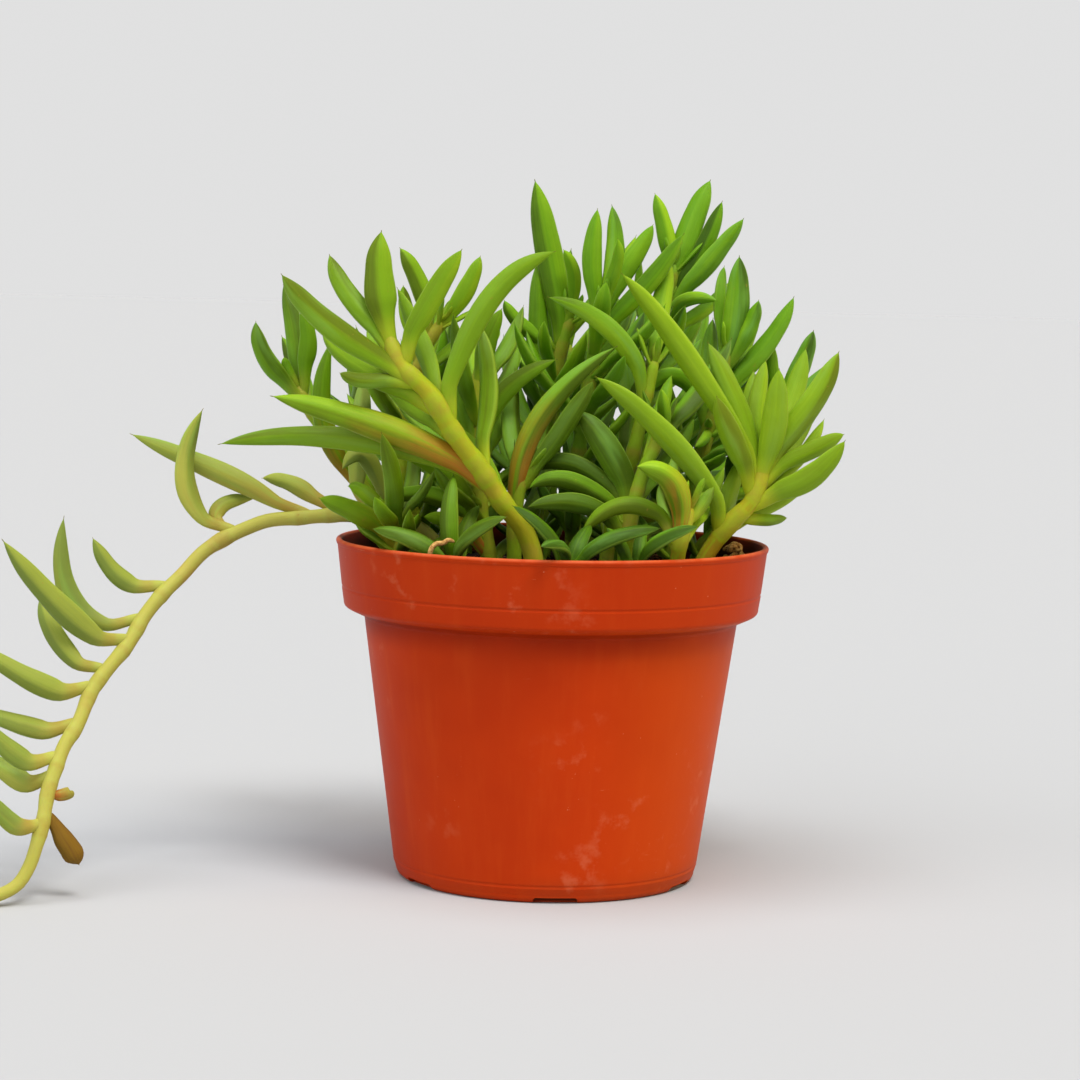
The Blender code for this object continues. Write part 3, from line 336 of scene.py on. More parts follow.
LEAF_LOOKS = {
    ("stem_left_leader", 0): Look(0.05, 0.75), ("stem_left_leader", 1): Look(-0.15, 0.15),
    ("stem_left_leader", 2): Look(-0.4), ("stem_left_leader", 3): Look(-0.25),
    ("stem_left_leader", 4): Look(-1.0), ("stem_left_leader", 6): Look(0.2),
    ("stem_left_leader", 7): Look(-0.05), ("stem_left_leader", 8): Look(-0.95),
    ("stem_left_leader", 12): Look(-0.7), ("stem_left_inner", 0): Look(-0.25),
    ("stem_left_inner", 2): Look(0.55), ("stem_left_inner", 5): Look(0.3),
    ("stem_left_inner", 6): Look(0.3), ("stem_left_inner", 8): Look(0.4), ("stem_left_inner", 9): Look(0.5),
    ("stem_left_back", 1): Look(-0.7), ("stem_left_back", 2): Look(0.1),
    ("stem_left_back", 4): Look(-0.2, 0.55), ("stem_left_back", 5): Look(1.3),
    ("stem_left_back", 10): Look(0.4, 0.2), ("stem_left_back", 11): Look(0.3),
    ("stem_rim_left", 0): Look(0.2, 0.3), ("stem_rim_left", 1): Look(0.6, 0.2),
    ("stem_rim_left", 2): Look(0.1, 0.1), ("stem_rim_left", 3): Look(0.5, 0.45),
    ("stem_rim_left", 4): Look(-0.9), ("stem_mid_left", 0): Look(0.1, 0.15),
    ("stem_mid_left", 2): Look(0.7, 0.9), ("stem_mid_left", 3): Look(-0.75),
    ("stem_mid_left", 4): Look(0.4), ("stem_mid_left", 5): Look(-0.35), ("stem_mid_left", 6): Look(-0.3),
    ("stem_mid_left", 7): Look(0.8), ("stem_mid_left", 9): Look(-0.5), ("stem_mid_left", 12): Look(0.3),
    ("stem_front_left", 0): Look(-0.1, 0.75), ("stem_front_left", 1): Look(-1.0),
    ("stem_front_left", 2): Look(-0.8), ("stem_front_right", 0): Look(0.1, 0.75),
    ("stem_front_right", 1): Look(-0.4), ("stem_front_right", 2): Look(-1.35),
    ("stem_front_right", 4): Look(0.4), ("stem_front_centre", 0): Look(-1.35),
    ("stem_front_centre", 2): Look(-1.4), ("stem_front_centre", 4): Look(0.1),
    ("stem_front_centre", 5): Look(-0.75), ("stem_front_centre", 6): Look(0.4),
    ("stem_front_centre", 8): Look(-1.3), ("stem_front_centre", 9): Look(-0.9),
    ("stem_centre_front", 0): Look(0.8), ("stem_centre_front", 1): Look(0.5),
    ("stem_centre_front", 4): Look(-0.95), ("stem_centre_front", 5): Look(-1.35),
    ("stem_centre", 1): Look(0.6), ("stem_centre", 2): Look(0.7), ("stem_centre", 3): Look(0.6),
    ("stem_centre", 5): Look(0.6), ("stem_centre_tall", 0): Look(-0.15), ("stem_centre_tall", 3): Look(0.8),
    ("stem_centre_tall", 4): Look(0.9), ("stem_right_tall", 0): Look(0.6),
    ("stem_right_tall", 2): Look(-0.6), ("stem_right_tall", 3): Look(0.5),
    ("stem_right_tall", 4): Look(0.9), ("stem_right_tall", 5): Look(0.6),
    ("stem_right_tall", 6): Look(0.95), ("stem_right_tall", 8): Look(0.5),
    ("stem_right_tall", 10): Look(0.7), ("stem_right_tall", 11): Look(-1.0),
    ("stem_right_back", 0): Look(-0.4), ("stem_right_back", 4): Look(-0.4),
    ("stem_right_front", 0): Look(-0.1), ("stem_right_front", 2): Look(-0.1),
    ("stem_right_front", 3): Look(0.4), ("stem_right_front", 4): Look(0.35),
    ("stem_right_front", 6): Look(0.7), ("stem_right_front", 9): Look(0.6),
    ("stem_right_front", 10): Look(0.6), ("stem_right_front", 12): Look(0.9),
    ("stem_right_front", 15): Look(0.7), (TRAIL_NAME, 0): Look(0.5, 0.3), (TRAIL_NAME, 1): Look(0.6, 0.15),
    (TRAIL_NAME, 2): Look(0.2, 0.35), (TRAIL_NAME, 5): Look(-0.8), (TRAIL_NAME, 6): Look(-0.4),
    (TRAIL_NAME, 7): Look(-0.5), (TRAIL_NAME, 8): Look(-0.5, 0.2), (TRAIL_NAME, 9): Look(-0.7),
    (TRAIL_NAME, 10): Look(0.2), (TRAIL_NAME, 12): Look(0.4, 1.0, 0.3),
    (TRAIL_NAME, 13): Look(-0.2, 0.0, 1.0), (TRAIL_NAME, 16): Look(0.1, 0.3),
    ("stem_right_upper", 8): Look(0.6), ("stem_right_upper", 10): Look(0.6),
}
FLUSHED_STEMS = {"stem_left_leader": 0.24, "stem_right_front": 0.5, "stem_front_right": 0.5,
                 TRAIL_NAME: 0.1}
LOW_SHADE = 0.55               # painted shade: how much darker the lowest leaves are, where the crown above shades them


def seen_at(x, z, depth):
    """The point at y = depth that looks, from EYE, as if it were at (x, z) in the plane y = 0."""
    share = (depth - EYE.y) / -EYE.y
    return EYE + (Vector((x, 0.0, z)) - EYE) * share


def smooth_route(points, step):
    """A smooth line through the points that sets off straight up, cut into runs of about `step` mm."""
    chords = [(b - a).length for a, b in zip(points, points[1:])]
    slopes = [(b - a) / h for a, b, h in zip(points, points[1:], chords)]
    tangents = [Vector((0.0, 0.0, 1.0))]
    for before, after, h0, h1 in zip(slopes, slopes[1:], chords, chords[1:]):
        tangents.append((before * h1 + after * h0) / (h0 + h1))
    tangents.append(slopes[-1])
    line = []
    for start, end, h, m0, m1 in zip(points, points[1:], chords, tangents, tangents[1:]):
        for t in (i / SMOOTH_RUNS for i in range(SMOOTH_RUNS)):
            line.append(start * (2 * t**3 - 3 * t**2 + 1) + m0 * (h * (t**3 - 2 * t**2 + t))
                        + end * (3 * t**2 - 2 * t**3) + m1 * (h * (t**3 - t**2)))
    line.append(points[-1].copy())
    lengths = route_lengths(line)
    count = max(2, round(lengths[-1] / step))
    return [route_point(line, lengths, lengths[-1] * i / count)[0] for i in range(count + 1)]


def route_lengths(route):
    """How far along a route each of its points lies."""
    return np.cumsum([0.0] + [(b - a).length for a, b in zip(route, route[1:])])


def route_point(route, lengths, place):
    """The point and the direction at a place along a route."""
    i = min(int(np.searchsorted(lengths, place, side="right")) - 1, len(route) - 2)
    share = min(1.0, (place - lengths[i]) / (lengths[i + 1] - lengths[i]))
    return route[i].lerp(route[i + 1], share), (route[i + 1] - route[i]).normalized()


def soil_height(x, y):
    """The top of the soil: low mounds and hollows."""
    mounds = 0.6 * math.sin(0.16 * x + 0.9) * math.cos(0.13 * y)
    ripples = 0.35 * math.sin(0.31 * y - 0.22 * x)
    return SOIL_TOP + mounds + ripples


def stem_route(foot, seen, step, beyond=()):
    """A stem's centre line: upright in its hole, along the seen points and then along those beyond."""
    x, y = foot
    above = [Vector((x, y, SOIL_TOP + 1))] + [seen_at(*point) for point in seen]
    above += [Vector(point) for point in beyond]
    return [Vector((x, y, SOIL_TOP - HOLE_DEPTH + GAP))] + smooth_route(above, step)


def leaf_curve(base, via, tip):
    """The three control points of the curve that passes `via` half way."""
    return base, via * 2 - (base + tip) / 2, tip


def curve_point(curve, t):
    return curve[0] * (1 - t)**2 + curve[1] * (2 * t * (1 - t)) + curve[2] * t**2


def curve_tangent(curve, t):
    return ((curve[1] - curve[0]) * (1 - t) + (curve[2] - curve[1]) * t).normalized()


def leaf_swell(t, foot):
    """The width along a leaf, as a share of the full width: its foot, a belly and a pointed tip."""
    if t < LEAF_WIDEST:
        return foot + (1 - foot) * math.sin(math.pi / 2 * t / LEAF_WIDEST)**1.6
    past = (t - LEAF_WIDEST) / (1 - LEAF_WIDEST)
    return (1 - past**2.1)**0.95


def leaf_foot(name):
    """How wide the foot of a leaf on this stem is."""
    return PETIOLE if name == TRAIL_NAME else LEAF_FOOT


def leaf_beads(curve, width, foot):
    """Balls that hold the leaf, for the clearance rule: rows of x, y, z, radius."""
    rows = []
    for i in range(CHECK_POINTS + 1):
        t = i / CHECK_POINTS
        point = curve_point(curve, t)
        rows.append((point.x, point.y, point.z, max(0.3, 0.45 * width * leaf_swell(t, foot))))
    return np.array(rows)


def stem_beads(route, radius):
    """Balls that hold the stem, close enough together to leave no gap."""
    rows = []
    for a, b in zip(route, route[1:]):
        pieces = max(2, math.ceil((b - a).length / 1.5))
        for i in range(pieces):
            point = a.lerp(b, i / pieces)
            rows.append((point.x, point.y, point.z, radius))
    return np.array(rows)


def inner_radius(z):
    """The pot's inner radius at a height."""
    radii, heights = zip(*INNER_WALL)
    return float(np.interp(z, heights, radii))


def clear_of_pot(beads, skip):
    """True where no ball past the first `skip` touches the surface, the pot or the soil."""
    for x, y, z, radius in beads[skip:]:
        away = math.hypot(x, y)
        if z - radius < GAP:
            return False
        if z - radius > POT_HEIGHT + GAP:
            continue
        if away - radius > LIP_RADIUS + GAP:
            continue
        if away + radius > inner_radius(z) - GAP or z - radius < soil_height(x, y) + GAP:
            return False
    return True


def clear_of(beads, others, margin):
    """True where every ball keeps the margin to every other ball."""
    if len(others) == 0:
        return True
    apart = np.linalg.norm(beads[:, None, :3] - others[None, :, :3], axis=2)
    return bool(np.all(apart > beads[:, None, 3] + others[None, :, 3] + margin))


def nearest_on(route, x, z):
    """The place on a route that looks nearest to (x, z) from EYE."""
    best, found = None, None
    for a, b in zip(route, route[1:]):
        for i in range(8):
            point = a.lerp(b, i / 8)
            share = -EYE.y / (point.y - EYE.y)
            seen = EYE + (point - EYE) * share
            miss = (seen.x - x)**2 + (seen.z - z)**2
            if best is None or miss < best:
                best, found = miss, point
    return found


class Plant:
    """The stems' routes and the leaves' curves, worked out one after another so that none cross."""

    def __init__(self):
        self.routes = {}
        self.radii = {}
        self.leaves = {}
        self.beads = {}
        self.left_out = []

    def add_stem(self, name, route, radius):
        self.routes[name] = route
        self.radii[name] = radius
        self.leaves[name] = []
        self.beads[name] = [stem_beads(route, radius)]

    def others(self, name):
        rows = [beads for key, group in self.beads.items() if key != name for beads in group]
        return np.concatenate(rows)

    def fits(self, name, beads):
        return clear_of_pot(beads, 2) and clear_of(beads, self.others(name), GAP + 0.1)

    def keep(self, name, curve, width, facing, beads):
        self.leaves[name].append((curve, width, facing))
        self.beads[name].append(beads)

    def add_seen_leaf(self, name, row, number):
        """Adds a leaf given as it is seen, bent nearer or further until it is clear of the other stems."""
        base = nearest_on(self.routes[name], *row.base)
        chance = random.Random(f"{name} {number}")
        twist = chance.uniform(-LEAF_TWIST, LEAF_TWIST)
        spread = chance.uniform(-LEAF_SPREAD, LEAF_SPREAD)
        for push in PUSHES:
            back = row.back + spread + push
            tip = seen_at(row.tip[0], row.tip[1], base.y + back)
            via = seen_at(row.via[0], row.via[1], base.y + 0.55 * back)
            curve = leaf_curve(base, via, tip)
            beads = leaf_beads(curve, row.width, leaf_foot(name))
            if self.fits(name, beads):
                facing = (EYE - via).normalized()
                side = facing.cross(tip - base).normalized()
                self.keep(name, curve, row.width, facing * math.cos(twist) + side * math.sin(twist), beads)
                return
        self.left_out.append((name, number))

    def add_free_leaf(self, name, base, heading, rise, length, width, along, hook=FILLER_HOOK):
        """Adds a leaf that leaves the stem at `heading`, rises and hooks or arches. True where it fits."""
        out = Vector((math.cos(heading), math.sin(heading), 0.0))
        out = (out - along * out.dot(along)).normalized()
        lean = (out * math.cos(rise) + along * math.sin(rise)).normalized()
        tip = base + lean * length
        bow = (out * math.sin(rise) - along * math.cos(rise)) * (hook * length)
        curve = leaf_curve(base, base + lean * (0.5 * length) + bow * 0.6, tip)
        beads = leaf_beads(curve, width, leaf_foot(name))
        own = np.concatenate(self.beads[name])
        beyond = beads[len(beads) // 3:]
        if not self.fits(name, beads) or not clear_of(beyond, own, 0.1) or not self.inside_crown(tip):
            return False
        self.keep(name, curve, width, along, beads)
        return True

    def inside_crown(self, tip):
        share = -EYE.y / (tip.y - EYE.y)
        seen = EYE + (tip - EYE) * share
        top = float(np.interp(seen.x, *zip(*CROWN_TOP)))
        foot = float(np.interp(seen.x, *zip(*CROWN_FOOT)))
        return CROWN_TOP[0][0] < seen.x < CROWN_TOP[-1][0] and foot < seen.z < top

    def add_fillers(self, stem):
        """Fills a stem with leaves by the golden angle, from its tip down."""
        name = stem.name
        chance = random.Random(name)
        route = self.routes[name]
        lengths = route_lengths(route)
        start = min(HOLE_DEPTH + FILLER_START, 0.8 * lengths[-1])
        turn = chance.uniform(0.0, 2 * math.pi)
        for number in range(stem.fillers):
            high = 1.0 - (number + chance.uniform(0.0, 0.6)) / stem.fillers
            base, along = route_point(route, lengths, start + (lengths[-1] - start) * high)
            turn += GOLDEN_ANGLE
            length = chance.uniform(*FILLER_LENGTH) * (1.0 - 0.25 * high) * stem.size
            width = chance.uniform(*FILLER_WIDTH) * stem.size**0.5
            rise = stem.rise[0] + (stem.rise[1] - stem.rise[0]) * high + chance.uniform(-0.1, 0.1)
            for change, shrink in product(FILLER_TURNS, FILLER_SHRINKS):
                heading = turn + change
                if stem.facing is not None:
                    heading = math.radians(stem.facing) + FILLER_FAN * math.remainder(heading, 2 * math.pi)
                if self.add_free_leaf(name, base, heading, rise, length * shrink, width * shrink**0.5,
                                      along, stem.hook):
                    break


def grow_plant():
    """Works out every stem and leaf."""
    plant = Plant()
    for stem in STEMS:
        radius = THICK_STEMS.get(stem.name, STEM_RADIUS)
        plant.add_stem(stem.name, stem_route(stem.foot, stem.route, STEM_STEP), radius)
    trail = stem_route(TRAIL_FOOT, TRAIL_ROUTE, TRAIL_STEP, TRAIL_ON_SURFACE)
    plant.add_stem(TRAIL_NAME, trail, TRAIL_RADIUS)
    for number, row in enumerate(TRAIL_LEAVES):
        plant.add_seen_leaf(TRAIL_NAME, row, number)
    for stem in STEMS:
        for number, row in enumerate(stem.leaves):
            plant.add_seen_leaf(stem.name, row, number)
    add_lying_leaves(plant)
    for stem in STEMS:
        plant.add_fillers(stem)
    return plant


def add_lying_leaves(plant):
    """Leaves on the stretch of the trailing stem that lies on the surface, all rising from it."""
    route = plant.routes[TRAIL_NAME]
    lengths = route_lengths(route)
    for from_end, heading, rise, length, width in TRAIL_LYING_LEAVES:
        base = route_point(route, lengths, lengths[-1] - from_end)[0]
        turn = math.radians(heading)
        flat = Vector((math.cos(turn), math.sin(turn), 0.0))
        run = math.sqrt(length**2 - rise**2)
        tip = base + flat * run + Vector((0.0, 0.0, rise))
        via = base + flat * (0.54 * run) + Vector((0.0, 0.0, 0.36 * rise + 0.8))
        curve = leaf_curve(base, via, tip)
        beads = leaf_beads(curve, width, leaf_foot(TRAIL_NAME))
        plant.keep(TRAIL_NAME, curve, width, Vector((0.0, 0.0, 1.0)), beads)


class Shells:
    """Closed shells of one mesh, with what the materials read at each vertex."""

    def __init__(self):
        self.points = []
        self.faces = []
        self.values = {"place": [], "kind": [], "stemness": [], "shade": []}

    def add(self, rings, ends, place, kind=(0.0, 0.0, 0.0), stemness=None, shade=0.0):
        """Adds a tube of equal rings (array: ring, side, xyz in mm) that closes on two end points."""
        count, sides = rings.shape[:2]
        first = sum(len(block) for block in self.points)
        self.points.append(np.concatenate([rings.reshape(-1, 3), np.array(ends)]))
        for i in range(count - 1):
            for j in range(sides):
                k = (j + 1) % sides
                a = first + i * sides
                self.faces.append((a + j, a + k, a + sides + k, a + sides + j))
        low = first + count * sides
        last = first + (count - 1) * sides
        for j in range(sides):
            k = (j + 1) % sides
            self.faces.append((low, first + k, first + j))
            self.faces.append((low + 1, last + j, last + k))
        size = count * sides
        flat = np.asarray(place, float).reshape(size, 3)
        self.values["place"].append(np.concatenate([flat, flat[:1], flat[-1:]]))
        self.values["kind"].append(np.tile(np.array(kind, float), (size + 2, 1)))
        given = np.zeros(size) if stemness is None else np.asarray(stemness, float).reshape(size)
        self.values["stemness"].append(np.concatenate([given, given[:1], given[-1:]]))
        self.values["shade"].append(np.full(size + 2, shade))

    def add_lump(self, points, faces, kind, shade):
        """Adds a closed lump given by its own faces."""
        first = sum(len(block) for block in self.points)
        self.points.append(points)
        self.faces += [tuple(first + i for i in face) for face in faces]
        self.values["place"].append(np.zeros((len(points), 3)))
        self.values["kind"].append(np.tile(np.array(kind, float), (len(points), 1)))
        self.values["stemness"].append(np.zeros(len(points)))
        self.values["shade"].append(np.full(len(points), shade))

    def piece(self, name, yellow=0.0):
        mesh = bpy.data.meshes.new(name)
        points = np.concatenate(self.points)
        points[:, 2] = np.maximum(points[:, 2], 0.0)
        mesh.from_pydata((points * MM).tolist(), [], self.faces)
        for label in ("place", "kind"):
            data = mesh.attributes.new(label, "FLOAT_VECTOR", "POINT").data
            data.foreach_set("vector", np.concatenate(self.values[label]).ravel())
        self.values["yellow"] = [np.full(len(points), yellow)]
        for label in ("stemness", "shade", "yellow"):
            data = mesh.attributes.new(label, "FLOAT", "POINT").data
            data.foreach_set("value", np.concatenate(self.values[label]))
        piece = bpy.data.objects.new(name, mesh)
        bpy.context.scene.collection.objects.link(piece)
        return piece


def smoothstep(low, high, value):
    share = min(1.0, max(0.0, (value - low) / (high - low)))
    return share * share * (3 - 2 * share)


def fine_swell(t, foot):
    """The solid leaf's swell with a hard point."""
    blunt = 1.0 + TIP_FULLNESS * smoothstep(0.64, 0.92, t) * (1.0 - smoothstep(0.94, 1.0, t))
    return leaf_swell(t, foot) * blunt * (1.0 - 0.4 * smoothstep(MUCRO - 0.015, MUCRO + 0.01, t))


def leaf_section(angle, keel):
    """A leaf's section as shares of its half width: a soft keel in front, a round back with a fine groove."""
    c, s = math.cos(angle), math.sin(angle)
    if s >= 0:
        high = s * (1.0 - 0.08 * keel + 0.19 * keel * math.exp(-(c / 0.32)**2))
    else:
        high = s * (1.0 - 0.08 * keel * math.exp(-(c / 0.2)**2))
    return c, LEAF_THICKNESS * high


def stem_size(radius, share):
    """The radius of a stem at a share of its length."""
    past = max(0.0, share - 0.5) * 2
    return radius * (1.0 - (1.0 - FINE_TIP) * past**2)


def root_of(route, lengths, radius, point):
    """The stem's radius and direction where a leaf sets out."""
    gaps = [(point - place).length for place in route]
    i = gaps.index(min(gaps))
    along = (route[min(i + 1, len(route) - 1)] - route[max(i - 1, 0)]).normalized()
    return stem_size(radius, lengths[i] / lengths[-1]), along


def add_leaf(shells, curve, width, facing, look, root, chance, foot=LEAF_FOOT):
    """A fine leaf along its curve: it runs down the stem a little, is keeled and has a hard point."""
    stem_radius, stem_along = root
    trailing = foot == PETIOLE
    length = (curve[1] - curve[0]).length + (curve[2] - curve[1]).length
    run_down = min(RUN_DOWN, 0.13 * length)
    sway = chance.uniform(-0.35, 0.35)
    phase = chance.uniform(0.0, 2 * math.pi)
    turn = chance.uniform(-0.3, 0.3)
    places = []
    for i in range(LEAF_RINGS):
        u = i / (LEAF_RINGS - 1)
        t = u - 0.105 * math.sin(2 * math.pi * u)
        middle = curve_point(curve, t)
        reach = (middle - curve[0]).length
        across = facing.cross(curve_tangent(curve, t)).normalized()
        middle = middle + across * (sway * math.sin(5.0 * t + phase) * 4 * t * (1 - t))
        middle = middle - stem_along * (run_down * (1.0 - smoothstep(0.0, FOOT_RUN, reach)))
        places.append((t, reach, middle))
    rings, place, stemness = [], [], []
    for i, (t, reach, middle) in enumerate(places):
        ahead = places[min(i + 1, LEAF_RINGS - 1)][2]
        behind = places[max(i - 1, 0)][2]
        tangent = (ahead - behind).normalized()
        across = facing.cross(tangent).normalized()
        front = tangent.cross(across)
        angle = turn * (t - 0.3)
        across, front = (across * math.cos(angle) + front * math.sin(angle),
                         front * math.cos(angle) - across * math.sin(angle))
        past = reach - stem_radius
        flare = 1.0 + FLARE * math.exp(-(max(0.0, past) / FLARE_REACH)**2)
        ripple = 1.0 + 0.02 * math.sin(14 * t + phase) * smoothstep(0.2, 0.4, t)
        half = 0.5 * (TRAIL_FULLNESS if trailing else 1.0) * width * max(0.03, fine_swell(t, foot)) * flare * ripple
        narrow = min(half, 0.85 * stem_radius)
        half = narrow + (half - narrow) * smoothstep(0.3 * stem_radius, stem_radius + 7.0, reach)
        half *= 1.0 + DRIED_BLUNT * look.dry * smoothstep(0.5, 0.85, t) * (1.0 - smoothstep(0.93, 1.0, t))
        keel = smoothstep(0.05, 0.35, t) * (1.0 - 0.6 * smoothstep(0.85, 1.0, t))
        ring = []
        for j in range(LEAF_RING):
            x, y = leaf_section(2 * math.pi * j / LEAF_RING, keel)
            crease = 1.0 + DRIED_CREASE * look.dry * math.sin(10 * math.pi * j / LEAF_RING + phase + 3.0 * t)
            ring.append(middle + across * (half * x * crease) + front * (half * y * crease))
            place.append((t, math.cos(2 * math.pi * j / LEAF_RING), math.sin(2 * math.pi * j / LEAF_RING)))
            stemness.append(1.0 - smoothstep(0.0, 1.0, past / (8.0 if trailing else 5.0)))
        rings.append(ring)
    rings = np.array(rings)
    tip = curve_point(curve, 1.0) + curve_tangent(curve, 1.0) * (0.008 * length)
    shells.add(rings, [places[0][2], tip], place, look, stemness, chance.random())


def ring_frames(route):
    """A direction and two directions across it at each point of a route, turning as little as they can."""
    frames = []
    across = Vector((1.0, 0.0, 0.0))
    for i in range(len(route)):
        along = (route[min(i + 1, len(route) - 1)] - route[max(i - 1, 0)]).normalized()
        across = (across - along * across.dot(along)).normalized()
        frames.append((along, across, along.cross(across)))
    return frames


def add_stem_tube(shells, route, radius, nodes, look, chance):
    """A stem: tapering, swollen at its nodes, with a domed end."""
    lengths = route_lengths(route)
    whole = lengths[-1]
    frames = ring_frames(route)
    rings, place, stemness = [], [], []
    phase = chance.uniform(0.0, 6.0)
    for point, reach, (along, across, front) in zip(route, lengths, frames):
        size = stem_size(radius, reach / whole)
        near = sum(math.exp(-((point - node).length / 1.6)**2) for node in nodes)
        size *= 1.0 + NODE_SWELL * min(1.4, near)
        dome = max(0.0, 1.0 - (whole - reach) / (2.4 * radius))
        size *= math.sqrt(max(0.04, 1.0 - dome**2))
        for j in range(STEM_RING):
            angle = 2 * math.pi * j / STEM_RING
            rib = 1.0 + 0.02 * math.sin(3 * angle + phase) + 0.012 * math.sin(5 * angle - 0.3 * reach)
            rings.append(point + (across * math.cos(angle) + front * math.sin(angle)) * (size * rib))
            place.append((min(1.0, near), math.cos(angle), reach / whole))
            stemness.append(1.0)
    rings = np.array(rings).reshape(len(route), STEM_RING, 3)
    end = route[-1] + frames[-1][0] * 0.15
    shells.add(rings, [route[0], end], place, look, stemness, chance.random())


def free_leaf_curve(base, lean, bow, length):
    tip = base + lean * length
    return leaf_curve(base, base + lean * (0.5 * length) + bow * length, tip)


def add_tip_leaves(shells, route, look, chance):
    """The youngest leaves, bundled at the end of a stem."""
    along = (route[-1] - route[-3]).normalized()
    side = along.orthogonal().normalized()
    start = chance.uniform(0.0, 2 * math.pi)
    for i in range(4):
        turn = start + i * GOLDEN_ANGLE
        out = side * math.cos(turn) + along.cross(side) * math.sin(turn)
        tilt = 0.2 + 0.16 * i
        lean = (along * math.cos(tilt) + out * math.sin(tilt)).normalized()
        length = 4.5 + 1.7 * i
        curve = free_leaf_curve(route[-1] - along * (0.5 * i), lean, out * 0.06, length)
        young = Look(look.tone + 0.3, look.flush, 0.0)
        add_leaf(shells, curve, 1.5 + 0.25 * i, out, young, (0.8, along), chance)


def add_axil_buds(shells, leaves, roots, look, chance):
    """Small shoots in the angle between some of the leaves and their stem."""
    for (curve, width, facing), root in zip(leaves, roots):
        if chance.random() > 0.4:
            continue
        stem_radius = root[0]
        away = curve_tangent(curve, 0.0)
        up = Vector((0.0, 0.0, 1.0))
        lean = (away * 0.75 + up * 0.8).normalized()
        base = curve[0] + away * (0.5 * stem_radius)
        length = stem_radius + chance.uniform(1.8, 3.8)
        curve = free_leaf_curve(base, lean, away * 0.05, length)
        add_leaf(shells, curve, chance.uniform(1.4, 1.9), away, look, root, chance)


def add_young_leaves(plant):
    """Short leaves low on the stems, grown where there is still room."""
    for stem in STEMS:
        if stem.name in BARE_STEMS + FRONT_STEMS:
            continue
        chance = random.Random("young " + stem.name)
        route = plant.routes[stem.name]
        lengths = route_lengths(route)
        start = min(HOLE_DEPTH + 3.0, 0.7 * lengths[-1])
        turn = chance.uniform(0.0, 2 * math.pi)
        for number in range(YOUNG_TRIES):
            high = chance.random()**1.4
            base, along = route_point(route, lengths, start + (lengths[-1] - start) * 0.85 * high)
            turn += GOLDEN_ANGLE
            length = chance.uniform(*YOUNG_LENGTH)
            width = chance.uniform(*YOUNG_WIDTH)
            rise = 0.35 + 0.5 * high
            for change, shrink in product(FILLER_TURNS, YOUNG_SHRINKS):
                if plant.add_free_leaf(stem.name, base, turn + change, rise, length * shrink,
                                       width * shrink**0.5, along):
                    break


def dress_stem(name, plant, seen, foot, radius, trail):
    """The finer piece of one leafy stem."""
    chance = random.Random("dress " + name)
    step = FINE_STEP
    route = stem_route(foot, seen, step, TRAIL_ON_SURFACE if trail else ())
    look = STEM_LOOKS[name]
    shells = Shells()
    leaves = plant.leaves[name]
    bark = Look(look.tone, FLUSHED_STEMS.get(name, look.flush), 0.0)
    add_stem_tube(shells, route, radius, [curve[0] for curve, width, facing in leaves], bark, chance)
    lengths = route_lengths(route)
    roots = [root_of(route, lengths, radius, leaf[0][0]) for leaf in leaves]
    for number, (curve, width, facing) in enumerate(leaves):
        # Painted shade: leaves low on the stem are darkened.
        low = 1.0 - smoothstep(84.0, 110.0, curve[0].z)
        tone = look.tone + chance.uniform(-0.35, 0.35) - LOW_SHADE * low
        plain = Look(tone, look.flush * 0.5 * chance.random(), 0.0)
        chosen = LEAF_LOOKS.get((name, number), plain)
        add_leaf(shells, curve, width, facing, chosen, roots[number], chance, leaf_foot(name))
    if name not in BARE_STEMS:
        add_tip_leaves(shells, route, look, chance)
        add_axil_buds(shells, leaves, roots, look, chance)
    piece = shells.piece("leafy_" + name, YELLOW_STEMS.get(name, 0.1))
    finish_piece(piece, name)
    return piece


def finish_piece(piece, node):
    piece.data.shade_smooth()
    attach(piece, BODY)
    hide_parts(node)


def arc(centre, radius, start, end, pieces):
    """Points on a round corner, with the angles in degrees."""
    points = []
    for i in range(pieces + 1):
        angle = math.radians(start + (end - start) * i / pieces)
        points.append((centre[0] + radius * math.cos(angle), centre[1] + radius * math.sin(angle)))
    return points


def with_rings(profile, run):
    """The profile with its long runs cut into shorter ones, and rings close by the ends that keep them flat."""
    points = [profile[0]]
    for a, b in zip(profile, profile[1:]):
        long = math.dist(a, b)
        pieces = max(1, math.ceil(long / run))
        shares = [i / pieces for i in range(1, pieces + 1)]
        if long > 6 * POT_HOLD:
            shares = [POT_HOLD / long] + shares[:-1] + [1 - POT_HOLD / long, 1.0]
        points += [(a[0] + (b[0] - a[0]) * share, a[1] + (b[1] - a[1]) * share) for share in shares]
    return points


def pot_profile():
    """The pot's wall from the inner floor over the lip to the foot."""
    inner_foot = arc((INNER_WALL[0][0] - 0.6, 2.6), 1.5, -75, -8, 4)
    inside = [(30.0, 1.0)] + inner_foot + [(44.1, 63.1), (44.5, 63.7), (48.9, 66.2), (49.25, 66.7)]
    lip = arc(LIP_BEAD[:2], LIP_BEAD[2], 165, -38, 12)
    foot = arc((FOOT_RADIUS - FOOT_ROUNDING, FOOT_ROUNDING), FOOT_ROUNDING, 0, -90, 7)
    outside = LIP_LINE + COLLAR_STEP + COLLAR_FOOT + SHOULDER + SCORE_LINE
    inner = with_rings(inside + lip[:1], POT_RUN)
    return inner + with_rings(lip + outside + foot, POT_RUN)[1:], len(inner)


